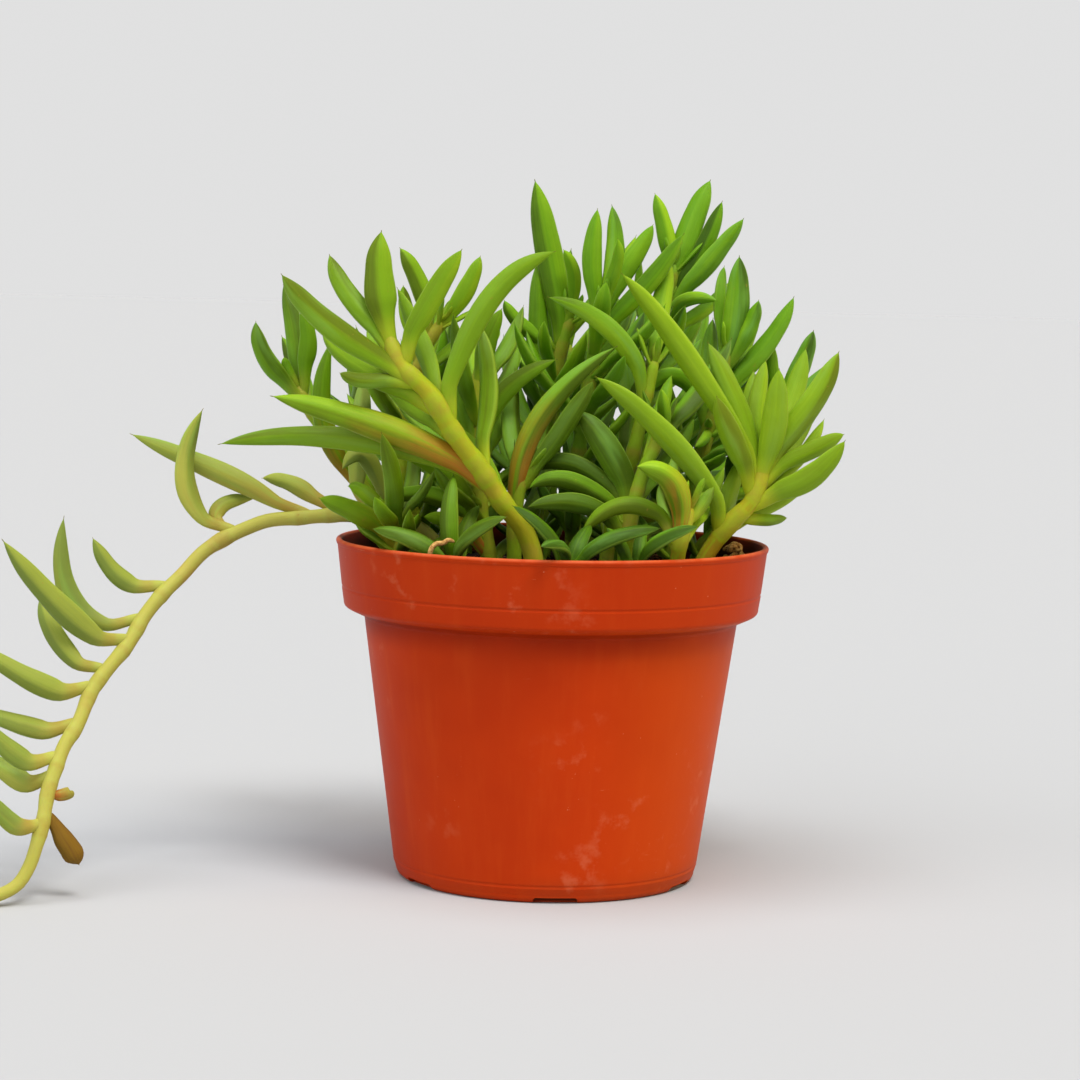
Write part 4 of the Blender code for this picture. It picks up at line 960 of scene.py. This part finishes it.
def revolved(name, profile, steps, top, foot, warp, inside):
    """A closed solid of revolution about Z that ends on the axis at the heights `top` and `foot`."""
    shells = Shells()
    rings, place = [], []
    for i, (radius, height) in enumerate(profile):
        for j in range(steps):
            angle = 2 * math.pi * j / steps
            r = radius + warp(angle, radius, height)
            rings.append((r * math.cos(angle), r * math.sin(angle), height))
            place.append((1.0 if i < inside else 0.0, 0.0, 0.0))
    rings = np.array(rings).reshape(len(profile), steps, 3)
    shells.add(rings, [(0.0, 0.0, top), (0.0, 0.0, foot)], place)
    return shells.piece(name)


def pot_warp(angle, radius, height):
    """The thin wall is not quite round, most of all at its free rim."""
    if radius < 34.0:
        return 0.0
    share = 0.25 + 0.75 * (height / POT_HEIGHT)**2
    wave = 0.6 * math.sin(2 * angle + 0.7) + 0.4 * math.sin(3 * angle + 2.1)
    return WARP * share * wave


def make_pot():
    profile, inside = pot_profile()
    pot = revolved("nursery_pot", profile, POT_STEPS, 1.0, 0.0, pot_warp, inside)
    for i in range(SLOT_COUNT):
        angle = math.radians(SLOT_START + 360.0 / SLOT_COUNT * i)
        shape = bmesh.new()
        bmesh.ops.create_cube(shape, size=1.0)
        bmesh.ops.scale(shape, vec=Vector(SLOT_SIZE) * MM, verts=shape.verts)
        upright = [edge for edge in shape.edges if edge.verts[0].co.z > 0 and edge.verts[1].co.z > 0]
        bmesh.ops.bevel(shape, geom=upright, offset=0.7 * MM, segments=4, profile=0.5, affect="EDGES")
        mesh = bpy.data.meshes.new("slot")
        shape.to_mesh(mesh)
        shape.free()
        cutter = bpy.data.objects.new("slot", mesh)
        bpy.context.scene.collection.objects.link(cutter)
        place = Vector((SLOT_RADIUS * math.cos(angle), SLOT_RADIUS * math.sin(angle), 0.0)) * MM
        cutter.matrix_world = Matrix.Translation(place) @ Matrix.Rotation(angle, 4, "Z")
        apply_boolean(pot, cutter, "DIFFERENCE")
    finish_piece(pot, "pot")
    pot.data.set_sharp_from_angle(angle=math.radians(38))
    pot.data.materials.append(pot_plastic())
    return pot


def apply_boolean(piece, other, operation):
    bpy.context.view_layer.update()
    change = piece.modifiers.new("boolean", "BOOLEAN")
    change.operation = operation
    change.object = other
    change.solver = "EXACT"
    graph = bpy.context.evaluated_depsgraph_get()
    mesh = bpy.data.meshes.new_from_object(piece.evaluated_get(graph), depsgraph=graph)
    piece.modifiers.clear()
    piece.data = mesh
    bpy.data.objects.remove(other)


def soil_surface(x, y):
    """The soil's top with its crumbly relief."""
    rough = noise.fractal(Vector((x, y, 3.0)) * 0.16, 0.6, 2.1, 5)
    fine = noise.noise(Vector((x, y, 9.0)) * 0.9)
    away = math.hypot(x, y)
    edge = 1.0 + 1.6 * smoothstep(40.0, 50.0, away)
    return soil_height(x, y) + (0.9 * rough + 0.35 * fine) * edge + 0.2


def make_soil_bed():
    edge = inner_radius(SOIL_TOP) - SOIL_CLEAR
    rings = []
    for i in range(SOIL_RINGS):
        radius = edge * (i + 1) / SOIL_RINGS
        ring = []
        for j in range(SOIL_STEPS):
            angle = 2 * math.pi * (j + 0.5 * (i % 2)) / SOIL_STEPS
            x, y = radius * math.cos(angle), radius * math.sin(angle)
            ring.append((x, y, soil_surface(x, y)))
        rings.append(ring)
    side = with_rings([(edge - 0.2, SOIL_TOP - 3.0), (48.7, 66.8), (44.0, 64.0), (35.7, 3.0), (34.8, 1.4)], 8.0)
    for radius, height in side:
        rings.append([(radius * math.cos(2 * math.pi * j / SOIL_STEPS),
                       radius * math.sin(2 * math.pi * j / SOIL_STEPS), height) for j in range(SOIL_STEPS)])
    rings = np.array(rings)
    shells = Shells()
    shells.add(rings, [(0.0, 0.0, soil_surface(0.0, 0.0)), (0.0, 0.0, 1.4)], np.zeros(rings.shape))
    piece = shells.piece("potting_mix_bed")
    finish_piece(piece, "soil")
    piece.data.materials.append(potting_mix())
    return piece


def lump_points(base, size, stretch, chance):
    """A rough lump: a small sphere pushed in and out."""
    shift = Vector((chance.uniform(0, 90), chance.uniform(0, 90), chance.uniform(0, 90)))
    turn = Matrix.Rotation(chance.uniform(0, 6.28), 3, "Z") @ Matrix.Rotation(chance.uniform(0, 6.28), 3, "X")
    points = []
    for corner in base:
        push = 1.0 + 0.55 * noise.noise(corner * 1.3 + shift)
        point = Vector((corner.x * stretch[0], corner.y * stretch[1], corner.z * stretch[2])) * (size * push)
        points.append(turn @ point)
    return points


def sphere_base(subdivisions):
    shape = bmesh.new()
    bmesh.ops.create_icosphere(shape, subdivisions=subdivisions, radius=1.0)
    corners = [vertex.co.copy() for vertex in shape.verts]
    faces = [[vertex.index for vertex in face.verts] for face in shape.faces]
    shape.free()
    return corners, faces


def make_crumbs(plant):
    """Crumbs and bark chips that lie on the soil."""
    chance = random.Random("crumbs")
    corners, faces = sphere_base(2)
    shells = Shells()
    reach = inner_radius(SOIL_TOP) - 0.8
    for number in range(CRUMB_COUNT + CHIP_COUNT):
        angle = chance.uniform(0.0, 2 * math.pi)
        away = reach * math.sqrt(chance.random())
        chip = number >= CRUMB_COUNT
        size = chance.uniform(0.9, 1.7) if chip else 0.3 + 0.9 * chance.random()**3
        stretch = (1.5, 0.9, 0.38) if chip else (1.0, chance.uniform(0.7, 1.0), chance.uniform(0.6, 1.0))
        away = min(away, reach - size * 1.4)
        place = Vector((away * math.cos(angle), away * math.sin(angle), 0.0))
        place.z = soil_surface(place.x, place.y) + 0.25 * size
        points = np.array([place + point for point in lump_points(corners, size, stretch, chance)])
        shade = chance.uniform(0.45, 1.0) if chip else chance.random()**1.6
        shells.add_lump(points, faces, (0.0, 0.0, 1.0 if chip else 0.0), shade)
    piece = shells.piece("potting_mix_crumbs")
    finish_piece(piece, "soil")
    piece.data.materials.append(potting_mix())
    return piece


def curve_through(corners, pieces):
    """A smooth run through some points."""
    points = [corners[0]]
    for i in range(len(corners) - 1):
        before = corners[max(i - 1, 0)]
        a, b = corners[i], corners[i + 1]
        after = corners[min(i + 2, len(corners) - 1)]
        for step in range(1, pieces + 1):
            t = step / pieces
            points.append(0.5 * (2 * a + (b - before) * t + (2 * before - 5 * a + 4 * b - after) * t**2
                                 + (3 * a - before - 3 * b + after) * t**3))
    return points


def add_fibre(shells, points, radius, shade, sides=6, kind=(0.0, 0.0, 1.0)):
    frames = ring_frames(points)
    rings = []
    for i, (point, (along, across, front)) in enumerate(zip(points, frames)):
        size = radius * math.sqrt(max(0.08, 1.0 - (2 * i / (len(points) - 1) - 1)**4))
        rings.append([point + (across * math.cos(2 * math.pi * j / sides)
                               + front * math.sin(2 * math.pi * j / sides)) * size for j in range(sides)])
    rings = np.array(rings)
    shells.add(rings, [points[0], points[-1]], np.zeros(rings.shape), kind, None, shade)


def make_fibres():
    """Root hairs and dried shreds on the soil."""
    chance = random.Random("fibres")
    shells = Shells()
    for number in range(FIBRE_COUNT):
        angle = chance.uniform(0.0, 2 * math.pi)
        away = 44.0 * math.sqrt(chance.random())
        place = Vector((away * math.cos(angle), away * math.sin(angle), 0.0))
        heading = chance.uniform(0.0, 2 * math.pi)
        bend = chance.uniform(-0.35, 0.35)
        radius = chance.uniform(0.12, 0.26)
        points = []
        for i in range(12):
            if math.hypot(place.x, place.y) > 48.0:
                break
            place.z = soil_surface(place.x, place.y) + radius + 0.5 * math.sin(math.pi * i / 11)
            points.append(place.copy())
            place += Vector((math.cos(heading), math.sin(heading), 0.0)) * chance.uniform(0.8, 1.2)
            heading += bend + chance.uniform(-0.2, 0.2)
        if len(points) > 4:
            add_fibre(shells, points, radius, chance.uniform(0.5, 1.0))
    add_fibre(shells, curve_through([Vector(point) for point in RIM_ROOT], 4), RIM_ROOT_RADIUS, 1.0, 10, (0.7, 0.0, 1.0))
    for number in range(TUFT_SHREDS):
        heading = chance.uniform(0.0, 2 * math.pi)
        out = Vector((math.cos(heading), math.sin(heading), 0.0))
        start = TUFT_PLACE + out * (TUFT_REACH * chance.random()**0.5)
        start.z = TUFT_PLACE.z + chance.uniform(0.0, TUFT_HIGH)
        size = chance.uniform(0.8, 1.7)
        lean = Vector((chance.uniform(-1.0, 1.0), chance.uniform(-1.0, 1.0), chance.uniform(-0.6, 1.0))).normalized()
        bow = lean.orthogonal().normalized()
        points = [start + lean * (size * math.sin(turn)) + bow * (0.7 * size * math.cos(turn))
                  for turn in [0.45 * i for i in range(9)]]
        add_fibre(shells, points, chance.uniform(0.3, 0.55), chance.uniform(0.6, 1.0), 8, (chance.uniform(0.7, 1.0), 0.0, 1.0))
    piece = shells.piece("potting_mix_fibres")
    finish_piece(piece, "soil")
    piece.data.materials.append(potting_mix())
    return piece


class Finish:
    """A material's nodes, put together step by step."""

    def __init__(self, name):
        self.material = bpy.data.materials.new(name)
        self.material.use_nodes = True
        self.nodes = self.material.node_tree.nodes
        self.links = self.material.node_tree.links
        self.shader = self.nodes["Principled BSDF"]
        self.position = self.nodes.new("ShaderNodeTexCoord").outputs["Object"]

    def put(self, socket, value):
        """Links a socket, or sets a plain value."""
        if isinstance(value, bpy.types.NodeSocket):
            self.links.new(value, socket)
        elif isinstance(value, tuple) and len(value) == 3 and socket.type == "RGBA":
            socket.default_value = (*value, 1.0)
        else:
            socket.default_value = value

    def set(self, **values):
        for label, value in values.items():
            self.put(self.shader.inputs[label.replace("_", " ")], value)

    def attribute(self, name, part="Fac"):
        node = self.nodes.new("ShaderNodeAttribute")
        node.attribute_name = name
        return node.outputs[part]

    def parts(self, vector):
        node = self.nodes.new("ShaderNodeSeparateXYZ")
        self.put(node.inputs[0], vector)
        return node.outputs

    def joined(self, x, y, z):
        node = self.nodes.new("ShaderNodeCombineXYZ")
        for socket, value in zip(node.inputs, (x, y, z)):
            self.put(socket, value)
        return node.outputs[0]

    def math(self, operation, a, b=0.0, clamp=False):
        node = self.nodes.new("ShaderNodeMath")
        node.operation = operation
        node.use_clamp = clamp
        self.put(node.inputs[0], a)
        self.put(node.inputs[1], b)
        return node.outputs[0]

    def noise(self, scale, detail=3.0, roughness=0.5, vector=None):
        node = self.nodes.new("ShaderNodeTexNoise")
        self.put(node.inputs["Vector"], self.position if vector is None else vector)
        node.inputs["Scale"].default_value = scale
        node.inputs["Detail"].default_value = detail
        node.inputs["Roughness"].default_value = roughness
        return node.outputs["Fac"]

    def stretched(self, x, y, z):
        node = self.nodes.new("ShaderNodeMapping")
        self.put(node.inputs["Vector"], self.position)
        node.inputs["Scale"].default_value = (x, y, z)
        return node.outputs[0]

    def rise(self, value, low, high, to_low=0.0, to_high=1.0):
        """A smooth step of the value from low to high."""
        node = self.nodes.new("ShaderNodeMapRange")
        node.interpolation_type = "SMOOTHSTEP"
        self.put(node.inputs["Value"], value)
        self.put(node.inputs["From Min"], low)
        self.put(node.inputs["From Max"], high)
        self.put(node.inputs["To Min"], to_low)
        self.put(node.inputs["To Max"], to_high)
        return node.outputs[0]

    def mix(self, share, a, b, blend="MIX"):
        node = self.nodes.new("ShaderNodeMix")
        node.data_type = "RGBA"
        node.blend_type = blend
        self.put(node.inputs["Factor"], share)
        self.put(node.inputs["A_Color"] if "A_Color" in node.inputs else node.inputs[6], a)
        self.put(node.inputs["B_Color"] if "B_Color" in node.inputs else node.inputs[7], b)
        return node.outputs[2]

    def bump(self, height, distance, strength=1.0, normal=None):
        node = self.nodes.new("ShaderNodeBump")
        node.inputs["Strength"].default_value = strength
        node.inputs["Distance"].default_value = distance
        self.put(node.inputs["Height"], height)
        if normal is not None:
            self.put(node.inputs["Normal"], normal)
        return node.outputs[0]


# Colours are linear
DEEP_GREEN = (0.027, 0.078, 0.0015)
MID_GREEN = (0.107, 0.272, 0.0040)
LIGHT_GREEN = (0.242, 0.442, 0.011)
STEM_GREEN = (0.110, 0.250, 0.012)
STEM_TAN = (0.450, 0.250, 0.075)
STEM_YELLOW = (0.375, 0.430, 0.012)
FLUSH_RED = (0.420, 0.095, 0.014)
PAINTED_RIM_LIGHT = (0.300, 0.470, 0.055)
WAXY_BLOOM = (0.150, 0.350, 0.060)
DRY = (0.190, 0.107, 0.010)
POINT_BROWN = (0.095, 0.038, 0.012)
TRAIL_DEEP = (0.085, 0.160, 0.024)
TRAIL_MID = (0.206, 0.272, 0.030)
TRAIL_LIGHT = (0.388, 0.400, 0.064)
TRAIL_STEM = (0.392, 0.408, 0.076)
NODE_BROWN = (0.330, 0.190, 0.030)


def plant_skin(name, deep, middle, light, yellow, foot_reach, foot_brown):
    """A leaf's and a stem's skin: streaked green, paler at the base, with painted rim light along the margins, flushed
    and brown where told.
    """
    skin = Finish(name)
    t, side, front = skin.parts(skin.attribute("place", "Vector"))
    tone, flush, dry = skin.parts(skin.attribute("kind", "Vector"))
    stemness = skin.attribute("stemness")
    shade = skin.attribute("shade")
    offset = skin.math("MULTIPLY", shade, 37.0)
    lengthways = skin.joined(skin.math("MULTIPLY", side, 4.0), skin.math("ADD", skin.math("MULTIPLY", t, 0.9), offset),
                             skin.math("MULTIPLY", front, 4.0))
    streaks = skin.noise(1.6, 4.0, 0.62, lengthways)
    fine_streaks = skin.noise(6.5, 3.0, 0.6, lengthways)
    blotches = skin.noise(120.0, 3.0, 0.55)
    lean = skin.math("MULTIPLY", skin.math("SUBTRACT", shade, 0.5), 0.6)
    halves = skin.math("MULTIPLY", skin.rise(side, -0.4, 0.4, -1.0, 1.0), lean)
    level = skin.math("ADD", 0.46, skin.math("MULTIPLY", tone, 0.34))
    level = skin.math("ADD", level, skin.math("MULTIPLY", skin.math("SUBTRACT", streaks, 0.5), 0.4))
    level = skin.math("ADD", level, skin.math("MULTIPLY", skin.math("SUBTRACT", fine_streaks, 0.5), 0.14))
    level = skin.math("ADD", level, skin.math("MULTIPLY", skin.math("SUBTRACT", blotches, 0.5), 0.3))
    level = skin.math("ADD", level, halves)
    end = skin.math("MULTIPLY", skin.rise(t, 0.55, 1.0), skin.rise(shade, 0.2, 0.9, -0.05, 0.3))
    level = skin.math("SUBTRACT", level, end)
    low = skin.mix(skin.rise(level, 0.0, 0.5), deep, middle)
    colour = skin.mix(skin.rise(level, 0.5, 1.0), low, light)
    waxy = skin.rise(skin.noise(1.0, 2.0, 0.5, skin.joined(skin.math("MULTIPLY", t, 1.5), offset, side)), 0.4, 0.7)
    bloom = skin.math("MULTIPLY", waxy, skin.rise(shade, 0.15, 0.95, 0.02, 0.6))
    colour = skin.mix(bloom, colour, WAXY_BLOOM)
    # Painted rim light: the leaf's margins are made paler.
    edge = skin.rise(skin.math("ABSOLUTE", side), 0.9, 1.0)
    colour = skin.mix(skin.math("MULTIPLY", edge, 0.35), colour, PAINTED_RIM_LIGHT)
    keel = skin.math("MULTIPLY", skin.rise(skin.math("ABSOLUTE", side), 0.2, 0.02), skin.rise(front, 0.2, 0.6))
    colour = skin.mix(skin.math("MULTIPLY", keel, 0.1), colour, light)
    colour = skin.mix(skin.math("MULTIPLY", skin.attribute("yellow"), 0.28), colour, yellow)
    base = skin.rise(t, foot_reach, 0.02, 0.0, 0.55)
    base = skin.math("MAXIMUM", base, stemness)
    stem = skin.mix(skin.attribute("yellow"), STEM_GREEN, yellow)
    warm = skin.mix(skin.rise(skin.noise(260.0, 3.0), 0.35, 0.75, 0.0, 0.4), stem, light)
    tan = skin.math("MULTIPLY", skin.rise(skin.noise(75.0, 3.0), 0.54, 0.74, 0.0, 0.5), skin.attribute("yellow"))
    warm = skin.mix(tan, warm, STEM_TAN)
    colour = skin.mix(base, colour, warm)
    node = skin.math("MULTIPLY", skin.math("MULTIPLY", skin.rise(t, 0.35, 1.0), skin.rise(stemness, 0.95, 1.0)), 0.6)
    colour = skin.mix(skin.math("MULTIPLY", node, skin.noise(700.0, 2.0)), colour, NODE_BROWN)
    reach = skin.rise(skin.math("ADD", t, skin.math("MULTIPLY", blotches, 0.3)), 0.95, 0.15)
    soft = skin.joined(skin.math("MULTIPLY", side, 1.3), skin.math("ADD", skin.math("MULTIPLY", t, 1.6), offset),
                       skin.math("MULTIPLY", front, 1.3))
    broad = skin.math("ADD", skin.math("MULTIPLY", skin.noise(1.2, 2.0, 0.5, soft), 0.75),
                      skin.math("MULTIPLY", streaks, 0.25))
    patch = skin.math("MULTIPLY", skin.rise(broad, 0.34, 0.54), reach)
    colour = skin.mix(skin.math("MULTIPLY", patch, flush), colour, FLUSH_RED)
    hard = skin.math("MULTIPLY", skin.rise(t, MUCRO, MUCRO + 0.014), skin.math("SUBTRACT", 1.0, stemness))
    colour = skin.mix(skin.math("MULTIPLY", hard, 0.7), colour, POINT_BROWN)
    scars = skin.math("MULTIPLY", skin.rise(skin.noise(1000.0, 2.0), 0.68, 0.76), skin.rise(blotches, 0.5, 0.62))
    colour = skin.mix(skin.math("MULTIPLY", scars, 0.5), colour, NODE_BROWN)
    joint = skin.math("MULTIPLY", skin.rise(stemness, 0.25, 0.75), skin.rise(stemness, 0.995, 0.8))
    colour = skin.mix(skin.math("MULTIPLY", joint, foot_brown), colour, NODE_BROWN)
    withered = skin.mix(skin.rise(streaks, 0.3, 0.8, 0.0, 0.45), DRY, POINT_BROWN)
    colour = skin.mix(dry, colour, withered)
    pores = skin.noise(2600.0, 2.0, 0.6)
    rough = skin.math("ADD", 0.36, skin.math("MULTIPLY", blotches, 0.16))
    rough = skin.math("ADD", rough, skin.math("MULTIPLY", dry, 0.3))
    swells = skin.bump(skin.noise(420.0, 3.0, 0.5), 0.00022, 0.5)
    ribs = skin.bump(fine_streaks, 0.00016, 0.45, swells)
    skin.set(Base_Color=colour, Roughness=rough, Normal=skin.bump(pores, 0.00004, 0.5, ribs),
             Subsurface_Weight=0.15, Subsurface_Scale=0.0020, Subsurface_Radius=(0.6, 1.0, 0.1))
    skin.set(Specular_IOR_Level=0.13)
    return skin.material


def pot_plastic():
    """Thin moulded plastic, satin, a little worn and dusty, with painted light on its right side and lip, painted shade
    under the collar, and a soil film with painted shade inside.
    """
    plastic = Finish("terracotta_coloured_plastic")
    x, y, z = plastic.parts(plastic.position)
    height = plastic.math("MULTIPLY", z, 1.0 / (POT_HEIGHT * MM))
    clouds = plastic.noise(22.0, 4.0, 0.55)
    flow = plastic.noise(1.0, 4.0, 0.6, plastic.stretched(260.0, 260.0, 14.0))
    colour = plastic.mix(plastic.rise(clouds, 0.3, 0.7), (0.405, 0.028, 0.0016), (0.470, 0.038, 0.0020))
    colour = plastic.mix(plastic.rise(flow, 0.45, 0.8, 0.0, 0.22), colour, (0.55, 0.072, 0.008))
    # Painted light: the body's right side is made lighter and more orange where light falls on it from the right.
    painted_right_light = plastic.math("MULTIPLY", plastic.rise(x, 0.004, 0.044, 0.0, 0.75),
                            plastic.rise(height, 0.81, 0.79, 0.45, 1.0))
    colour = plastic.mix(painted_right_light, colour, (0.505, 0.066, 0.0022))
    colour = plastic.mix(plastic.rise(height, 0.79, 0.81, 0.0, 0.35), colour, (0.340, 0.021, 0.0014))
    specks = plastic.rise(plastic.noise(900.0, 2.0, 0.5), 0.73, 0.8)
    dust = plastic.math("MULTIPLY", specks, plastic.rise(plastic.noise(60.0, 2.0), 0.5, 0.7))
    colour = plastic.mix(plastic.math("MULTIPLY", dust, 0.6), colour, (0.72, 0.36, 0.22))
    scuffs = plastic.rise(plastic.noise(1.0, 5.0, 0.7, plastic.stretched(120.0, 120.0, 900.0)), 0.66, 0.76)
    worn = plastic.math("MULTIPLY", scuffs, plastic.rise(plastic.noise(35.0, 2.0), 0.55, 0.7))
    colour = plastic.mix(plastic.math("MULTIPLY", worn, 0.5), colour, (0.66, 0.25, 0.13))
    smears = plastic.math("MULTIPLY", plastic.rise(plastic.noise(150.0, 4.0, 0.6), 0.55, 0.72),
                          plastic.rise(plastic.noise(24.0, 2.0), 0.48, 0.66, 0.0, 0.3))
    colour = plastic.mix(smears, colour, (0.62, 0.20, 0.10))
    grime = plastic.math("MULTIPLY", plastic.rise(height, 0.1, 0.0), plastic.rise(clouds, 0.4, 0.7))
    colour = plastic.mix(plastic.math("MULTIPLY", grime, 0.5), colour, (0.16, 0.035, 0.012))
    # Painted shade: a dark band just under the collar's overhang.
    painted_collar_shade = plastic.math("MULTIPLY", plastic.rise(height, 0.69, 0.775, 0.0, 0.75), plastic.rise(height, 0.79, 0.785))
    colour = plastic.mix(plastic.math("MULTIPLY", painted_collar_shade, plastic.rise(clouds, 0.1, 0.6)), colour, (0.21, 0.010, 0.0008))
    # Painted highlight: the top of the lip is made lighter, as if it catches the light.
    edge = plastic.math("MULTIPLY", plastic.rise(height, 0.99, 0.998), plastic.rise(flow, 0.25, 0.65, 0.15, 0.5))
    colour = plastic.mix(edge, colour, (0.62, 0.16, 0.06))
    # The inside of the pot is darkened up to just below the rim: partly a film of soil, partly painted shade in the
    # pot's hollow.
    within = plastic.parts(plastic.attribute("place", "Vector"))[0]
    soil_film_and_shade = plastic.math("ADD", height, plastic.math("MULTIPLY", plastic.math("SUBTRACT", clouds, 0.5), 0.12))
    soil_film_and_shade = plastic.math("MULTIPLY", within, plastic.rise(soil_film_and_shade, 1.02, 0.95, 0.0, 0.9))
    colour = plastic.mix(soil_film_and_shade, colour, (0.045, 0.014, 0.007))
    rough = plastic.math("ADD", 0.40, plastic.math("MULTIPLY", plastic.noise(70.0, 4.0), 0.14))
    rough = plastic.math("ADD", rough, plastic.math("MULTIPLY", worn, 0.2))
    skin = plastic.bump(plastic.noise(2400.0, 2.0), 0.00003, 0.35)
    waves = plastic.bump(plastic.noise(1.0, 2.0, 0.5, plastic.stretched(60.0, 60.0, 25.0)), 0.0005, 0.35, skin)
    plastic.set(Base_Color=colour, Roughness=rough, Normal=waves, Subsurface_Weight=0.05,
                Subsurface_Scale=0.0015, Subsurface_Radius=(1.0, 0.25, 0.04), Specular_IOR_Level=0.06)
    return plastic.material


def potting_mix():
    """Dark damp peat with paler bark and fibres."""
    mix = Finish("dark_potting_mix")
    golden, _, kind = mix.parts(mix.attribute("kind", "Vector"))
    shade = mix.attribute("shade")
    grains = mix.noise(1500.0, 4.0, 0.65)
    patches = mix.noise(180.0, 4.0, 0.6)
    colour = mix.mix(mix.rise(patches, 0.3, 0.7), (0.012, 0.0075, 0.005), (0.040, 0.022, 0.012))
    colour = mix.mix(mix.math("MULTIPLY", shade, 0.7), colour, (0.085, 0.043, 0.020))
    bark = mix.mix(mix.rise(grains, 0.35, 0.65), (0.105, 0.045, 0.018), (0.260, 0.130, 0.050))
    colour = mix.mix(mix.math("MULTIPLY", kind, shade), colour, bark)
    colour = mix.mix(golden, colour, mix.mix(mix.rise(grains, 0.35, 0.65), (0.400, 0.180, 0.040), (0.800, 0.500, 0.160)))
    rough = mix.math("ADD", 0.72, mix.math("MULTIPLY", grains, 0.25))
    coarse = mix.bump(patches, 0.0009, 0.6)
    mix.set(Base_Color=colour, Roughness=rough, Normal=mix.bump(grains, 0.00035, 0.7, coarse),
            Specular_IOR_Level=0.25)
    return mix.material


def make_camera():
    """The camera at the photograph's angle; the lens is for a square picture of 1080 by 1080."""
    data = bpy.data.cameras.new("camera")
    data.sensor_width = 36.0
    data.lens = CAMERA_FOCUS * data.sensor_width / PICTURE_SIZE
    data.clip_start = 0.01
    data.clip_end = 100.0
    camera = bpy.data.objects.new("camera", data)
    bpy.context.scene.collection.objects.link(camera)
    look = (CAMERA_AIM - EYE).to_track_quat("-Z", "Y").to_matrix().to_4x4()
    camera.matrix_world = (Matrix.Translation(EYE * MM) @ look
                           @ Matrix.Rotation(math.radians(CAMERA_ROLL), 4, "Z"))
    bpy.context.scene.camera = camera


PICTURE_SIZE = 1080
CAMERA_FOCUS = 2802.0          # in pixels of the picture
CAMERA_AIM = Vector((-3.0, 0.0, 82.0))
CAMERA_ROLL = 1.35
FLOOR_REACH = 40.0

# Lights: name, the direction that they shine from, spread in degrees, strength and colour
LIGHTS = [("key", (0.45, -0.75, 1.5), 22.0, 2.5, (1.0, 0.97, 0.91)),
          ("top", (-0.15, -0.15, 1.3), 35.0, 1.4, (0.98, 0.98, 0.98)),
          ("fill", (-1.0, -0.9, 0.7), 70.0, 1.25, (1.0, 0.98, 0.93)),
          ("edge", (1.2, -0.25, 0.4), 35.0, 0.95, (1.0, 0.64, 0.22))]
SKY_LOW = 0.75                 # how bright the world is near the horizon and overhead
SKY_HIGH = 0.28


def make_lights():
    for name, place, spread, power, colour in LIGHTS:
        data = bpy.data.lights.new(name, "SUN")
        data.angle = math.radians(spread)
        data.energy = power
        data.color = colour
        lamp = bpy.data.objects.new(name, data)
        bpy.context.scene.collection.objects.link(lamp)
        lamp.matrix_world = (-Vector(place)).to_track_quat("-Z", "Y").to_matrix().to_4x4()
    world = bpy.data.worlds.new("studio")
    world.use_nodes = True
    nodes = world.node_tree.nodes
    place = nodes.new("ShaderNodeTexCoord")
    parts = nodes.new("ShaderNodeSeparateXYZ")
    fade = nodes.new("ShaderNodeMapRange")
    fade.interpolation_type = "SMOOTHSTEP"
    for label, value in (("From Min", 0.12), ("From Max", 0.5), ("To Min", SKY_LOW), ("To Max", SKY_HIGH)):
        fade.inputs[label].default_value = value
    world.node_tree.links.new(place.outputs["Generated"], parts.inputs[0])
    world.node_tree.links.new(parts.outputs["Z"], fade.inputs["Value"])
    world.node_tree.links.new(fade.outputs[0], nodes["Background"].inputs["Strength"])
    nodes["Background"].inputs["Color"].default_value = (1.0, 1.0, 1.0, 1.0)
    bpy.context.scene.world = world


def make_floor():
    mesh = bpy.data.meshes.new("floor")
    reach = FLOOR_REACH
    mesh.from_pydata([(-reach, -reach, 0.0), (reach, -reach, 0.0), (reach, reach, 0.0), (-reach, reach, 0.0)],
                     [], [(0, 1, 2, 3)])
    floor = bpy.data.objects.new("floor", mesh)
    bpy.context.scene.collection.objects.link(floor)
    paper = Finish("pale_paper")
    paper.set(Base_Color=(0.435, 0.450, 0.476), Roughness=0.95, Specular_IOR_Level=0.1)
    mesh.materials.append(paper.material)


def build():
    for lamp in [item for item in bpy.data.objects if item.type in ("LIGHT", "CAMERA")]:
        bpy.data.objects.remove(lamp)
    make_camera()
    plant = grow_plant()
    solid_leaves = {name: len(leaves) for name, leaves in plant.leaves.items()}
    add_young_leaves(plant)
    print("young leaves", sum(len(leaves) for leaves in plant.leaves.values()) - sum(solid_leaves.values()))
    make_pot()
    make_soil_bed()
    make_crumbs(plant)
    make_fibres()
    leafy = plant_skin("leafy_skin", DEEP_GREEN, MID_GREEN, LIGHT_GREEN, STEM_YELLOW, 0.2, 0.05)
    trailing = plant_skin("trailing_skin", TRAIL_DEEP, TRAIL_MID, TRAIL_LIGHT, TRAIL_STEM, 0.42, 0.35)
    for stem in STEMS:
        piece = dress_stem(stem.name, plant, stem.route, stem.foot, plant.radii[stem.name], False)
        piece.data.materials.append(leafy)
    piece = dress_stem(TRAIL_NAME, plant, TRAIL_ROUTE, TRAIL_FOOT, TRAIL_RADIUS, True)
    piece.data.materials.append(trailing)
    make_lights()
    make_floor()
    bpy.context.scene.view_settings.view_transform = "Standard"


build()
